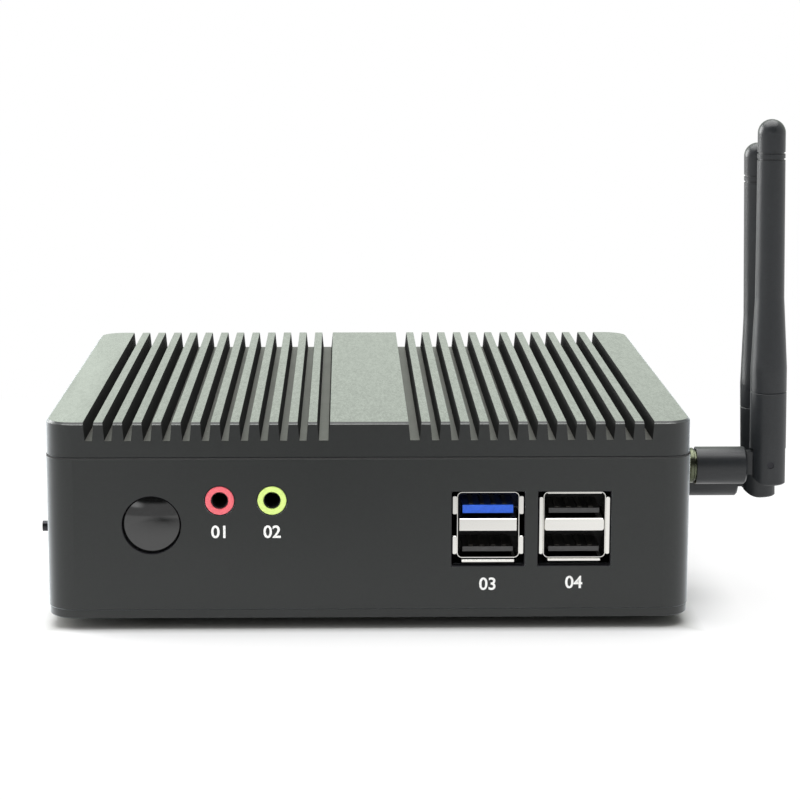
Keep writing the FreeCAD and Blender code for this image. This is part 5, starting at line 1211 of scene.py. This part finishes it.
class COMPUTER_OT_stage(bpy.types.Operator):
    """Set up the camera, the floor, the lights and the world"""

    bl_idname = "computer.stage"
    bl_label = "Stage"

    def execute(self, context):
        settings = context.scene.computer_stage
        self.camera(context, settings)
        self.floor(context)
        self.lights(context, settings)
        self.world(context, settings)
        context.scene.view_settings.view_transform = "Standard"
        return {"FINISHED"}

    def camera(self, context, settings):
        data = bpy.data.cameras.new("camera")
        data.lens = settings.lens
        data.sensor_width = 36.0
        data.clip_start = 0.01
        camera = bpy.data.objects.new("camera", data)
        context.scene.collection.objects.link(camera)
        turn = Matrix.Rotation(-settings.heading, 4, "Z")
        dip = Matrix.Rotation(math.radians(90) - settings.dip, 4, "X")
        roll = Matrix.Rotation(settings.roll, 4, "Z")
        camera.matrix_world = Matrix.Translation(settings.camera_place) @ turn @ dip @ roll
        context.scene.camera = camera

    def floor(self, context):
        """A white floor that stays plain from above, keeps the shadow under the case, with a painted shadow in its
        colour under the case's outline, and is clear from below.
        """
        low, reach = CAD_BOX[0].z, 4.0
        mesh = bpy.data.meshes.new("floor")
        corners = [(-reach, -reach, low), (reach, -reach, low), (reach, reach, low), (-reach, reach, low)]
        mesh.from_pydata(corners, [], [(0, 1, 2, 3)])
        floor = bpy.data.objects.new("floor", mesh)
        context.scene.collection.objects.link(floor)
        painted_shadow_colour, open_floor = (0.4, 0.4, 0.38, 1.0), (0.9, 0.9, 0.9, 1.0)
        finish = Finish("floor_white", open_floor, 0.6)
        tree = finish.tree
        axes = axes_of(tree, finish.place)
        rays = add_node(tree, "ShaderNodeLightPath").outputs
        outside = self.outside_case(tree, axes)
        # painted shadow: the floor's colour darkens under the case's outline
        finish.feed(mixed(tree, remap(tree, outside, (-0.003, 0.003)), painted_shadow_colour, open_floor))
        glow = set_inputs(add_node(tree, "ShaderNodeEmission"), Color=WHITE)
        linked(tree, self.mirrored_floor(tree, axes, rays), glow.inputs["Strength"])
        seen = largest(tree, rays["Is Camera Ray"], rays["Is Glossy Ray"], rays["Is Transmission Ray"])
        glowing = product(tree, seen, self.away(tree, outside))
        surface = blended(tree, glowing, finish.shader.outputs["BSDF"], glow.outputs["Emission"])
        backfacing = add_node(tree, "ShaderNodeNewGeometry").outputs["Backfacing"]
        below = product(tree, backfacing, rays["Is Camera Ray"])
        clear = add_node(tree, "ShaderNodeBsdfTransparent").outputs["BSDF"]
        linked(tree, blended(tree, below, surface, clear), tree.nodes["Material Output"].inputs["Surface"])
        mesh.materials.append(finish.material)

    def mirrored_floor(self, tree, axes, rays):
        """One, but dimmer in gloss where the floor runs out in front of the object."""
        most, middle_at, half_width = 0.8, -0.012, 0.09
        ahead = zone(tree, axes["Y"], (-0.6, -0.24), (-0.24, -0.1))
        from_middle = maths(tree, "ABSOLUTE", maths(tree, "ADD", axes["X"], -middle_at))
        dimming = product(tree, ahead, remap(tree, from_middle, (0.0, half_width), (1.0, 0.0)), most)
        fading = remap(tree, axes["Y"], (-0.7, -0.4), (0.6, 1.0))
        return largest(tree, maths(tree, "SUBTRACT", fading, dimming), rays["Is Camera Ray"])

    def outside_case(self, tree, axes):
        """How far a place on the floor is outside the case's outline; less than nought is under it."""
        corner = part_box("case_frame")[1]
        across = maths(tree, "SUBTRACT", maths(tree, "ABSOLUTE", axes["X"]), corner.x)
        along = maths(tree, "SUBTRACT", maths(tree, "ABSOLUTE", axes["Y"]), corner.y)
        return largest(tree, across, along)

    def away(self, tree, outside):
        """Nought under the case and one well away from it, so that the shadow under the case stays."""
        bend, full, share = 0.014, 0.15, 0.82
        near = remap(tree, outside, (0.0, bend), (0.0, share))
        far = remap(tree, outside, (bend, full), (0.0, 1.0 - share))
        return maths(tree, "ADD", near, far)

    def lights(self, context, settings):
        for name, (place, aim, size, power, shown) in LIGHTS.items():
            data = bpy.data.lights.new(name, "AREA")
            data.shape = "SQUARE"
            data.size = size
            data.energy = getattr(settings, power)
            light = bpy.data.objects.new(name, data)
            light.visible_glossy = shown
            context.scene.collection.objects.link(light)
            turn = (Vector(aim) - Vector(place)).to_track_quat("-Z", "Y").to_matrix().to_4x4()
            light.matrix_world = Matrix.Translation(place) @ turn

    def world(self, context, settings):
        """White to the camera, a soft fill to the rest, and to gloss a room with a doorway and a bright strip."""
        world = bpy.data.worlds.new("studio")
        context.scene.world = world
        world.use_nodes = True
        tree = world.node_tree
        background = tree.nodes["Background"].inputs
        rays = add_node(tree, "ShaderNodeLightPath").outputs
        glossy = rays["Is Glossy Ray"]
        x, y, z = axes_of(tree, add_node(tree, "ShaderNodeTexCoord").outputs["Generated"])
        strip_strength = 1.2
        room = remap(tree, y, (-0.3, 0.2), (settings.room, 1.0))
        ahead = maths(tree, "LESS_THAN", y, 0.0)
        left_side = remap(tree, x, (-0.75, -0.3), (0.2, 1.0))
        right_side = remap(tree, x, (0.4, 0.52), (1.0, 0.0))
        above_sill = remap(tree, z, (0.17, 0.22))
        doorway = product(tree, left_side, right_side, above_sill, ahead, 1.0 - settings.doorway)
        low_down = zone(tree, z, (0.1, 0.13), (0.19, 0.22))
        at_left = zone(tree, x, (-0.6, -0.5), (-0.34, -0.2))
        strip = product(tree, low_down, at_left, ahead, strip_strength)
        mirrored = maths(tree, "ADD", product(tree, room, maths(tree, "SUBTRACT", 1.0, doorway)), strip)
        fill = product(tree, maths(tree, "SUBTRACT", 1.0, glossy), settings.fill)
        in_gloss = product(tree, glossy, mirrored)
        strength = largest(tree, rays["Is Camera Ray"], rays["Is Transmission Ray"], in_gloss, fill)
        linked(tree, strength, background["Strength"])
        behind = product(tree, glossy, remap(tree, y, (0.2, 0.6)))
        linked(tree, mixed(tree, behind, WHITE, scaled(settings.backdrop_tint)), background["Color"])


class COMPUTER_PT_panel(bpy.types.Panel):
    """Steps that dress the computer, in order"""

    bl_idname = "COMPUTER_PT_panel"
    bl_label = "Computer"
    bl_space_type = "VIEW_3D"
    bl_region_type = "UI"
    bl_category = "Computer"

    def draw(self, context):
        for step in STEPS:
            self.layout.operator(step.bl_idname)


STEPS = (
    COMPUTER_OT_stage,
    COMPUTER_OT_finishes,
    COMPUTER_OT_lid,
    COMPUTER_OT_print,
    COMPUTER_OT_double_sockets,
    COMPUTER_OT_controls,
    COMPUTER_OT_couplings,
    COMPUTER_OT_rear_sockets,
)
SETTINGS = {
    "computer_finish": FinishSettings,
    "computer_lid": LidSettings,
    "computer_print": PrintSettings,
    "computer_socket": SocketSettings,
    "computer_control": ControlSettings,
    "computer_aerial": AerialSettings,
    "computer_stage": StageSettings,
}


def register():
    for item in (*SETTINGS.values(), *STEPS, COMPUTER_PT_panel):
        bpy.utils.register_class(item)
    for name, group in SETTINGS.items():
        setattr(bpy.types.Scene, name, PointerProperty(type=group))


def unregister():
    for name in SETTINGS:
        delattr(bpy.types.Scene, name)
    for item in (COMPUTER_PT_panel, *reversed(STEPS), *SETTINGS.values()):
        bpy.utils.unregister_class(item)


def main():
    register()
    for step in STEPS:
        area, name = step.bl_idname.split(".")
        getattr(getattr(bpy.ops, area), name)()


if __name__ == "__main__":
    main()
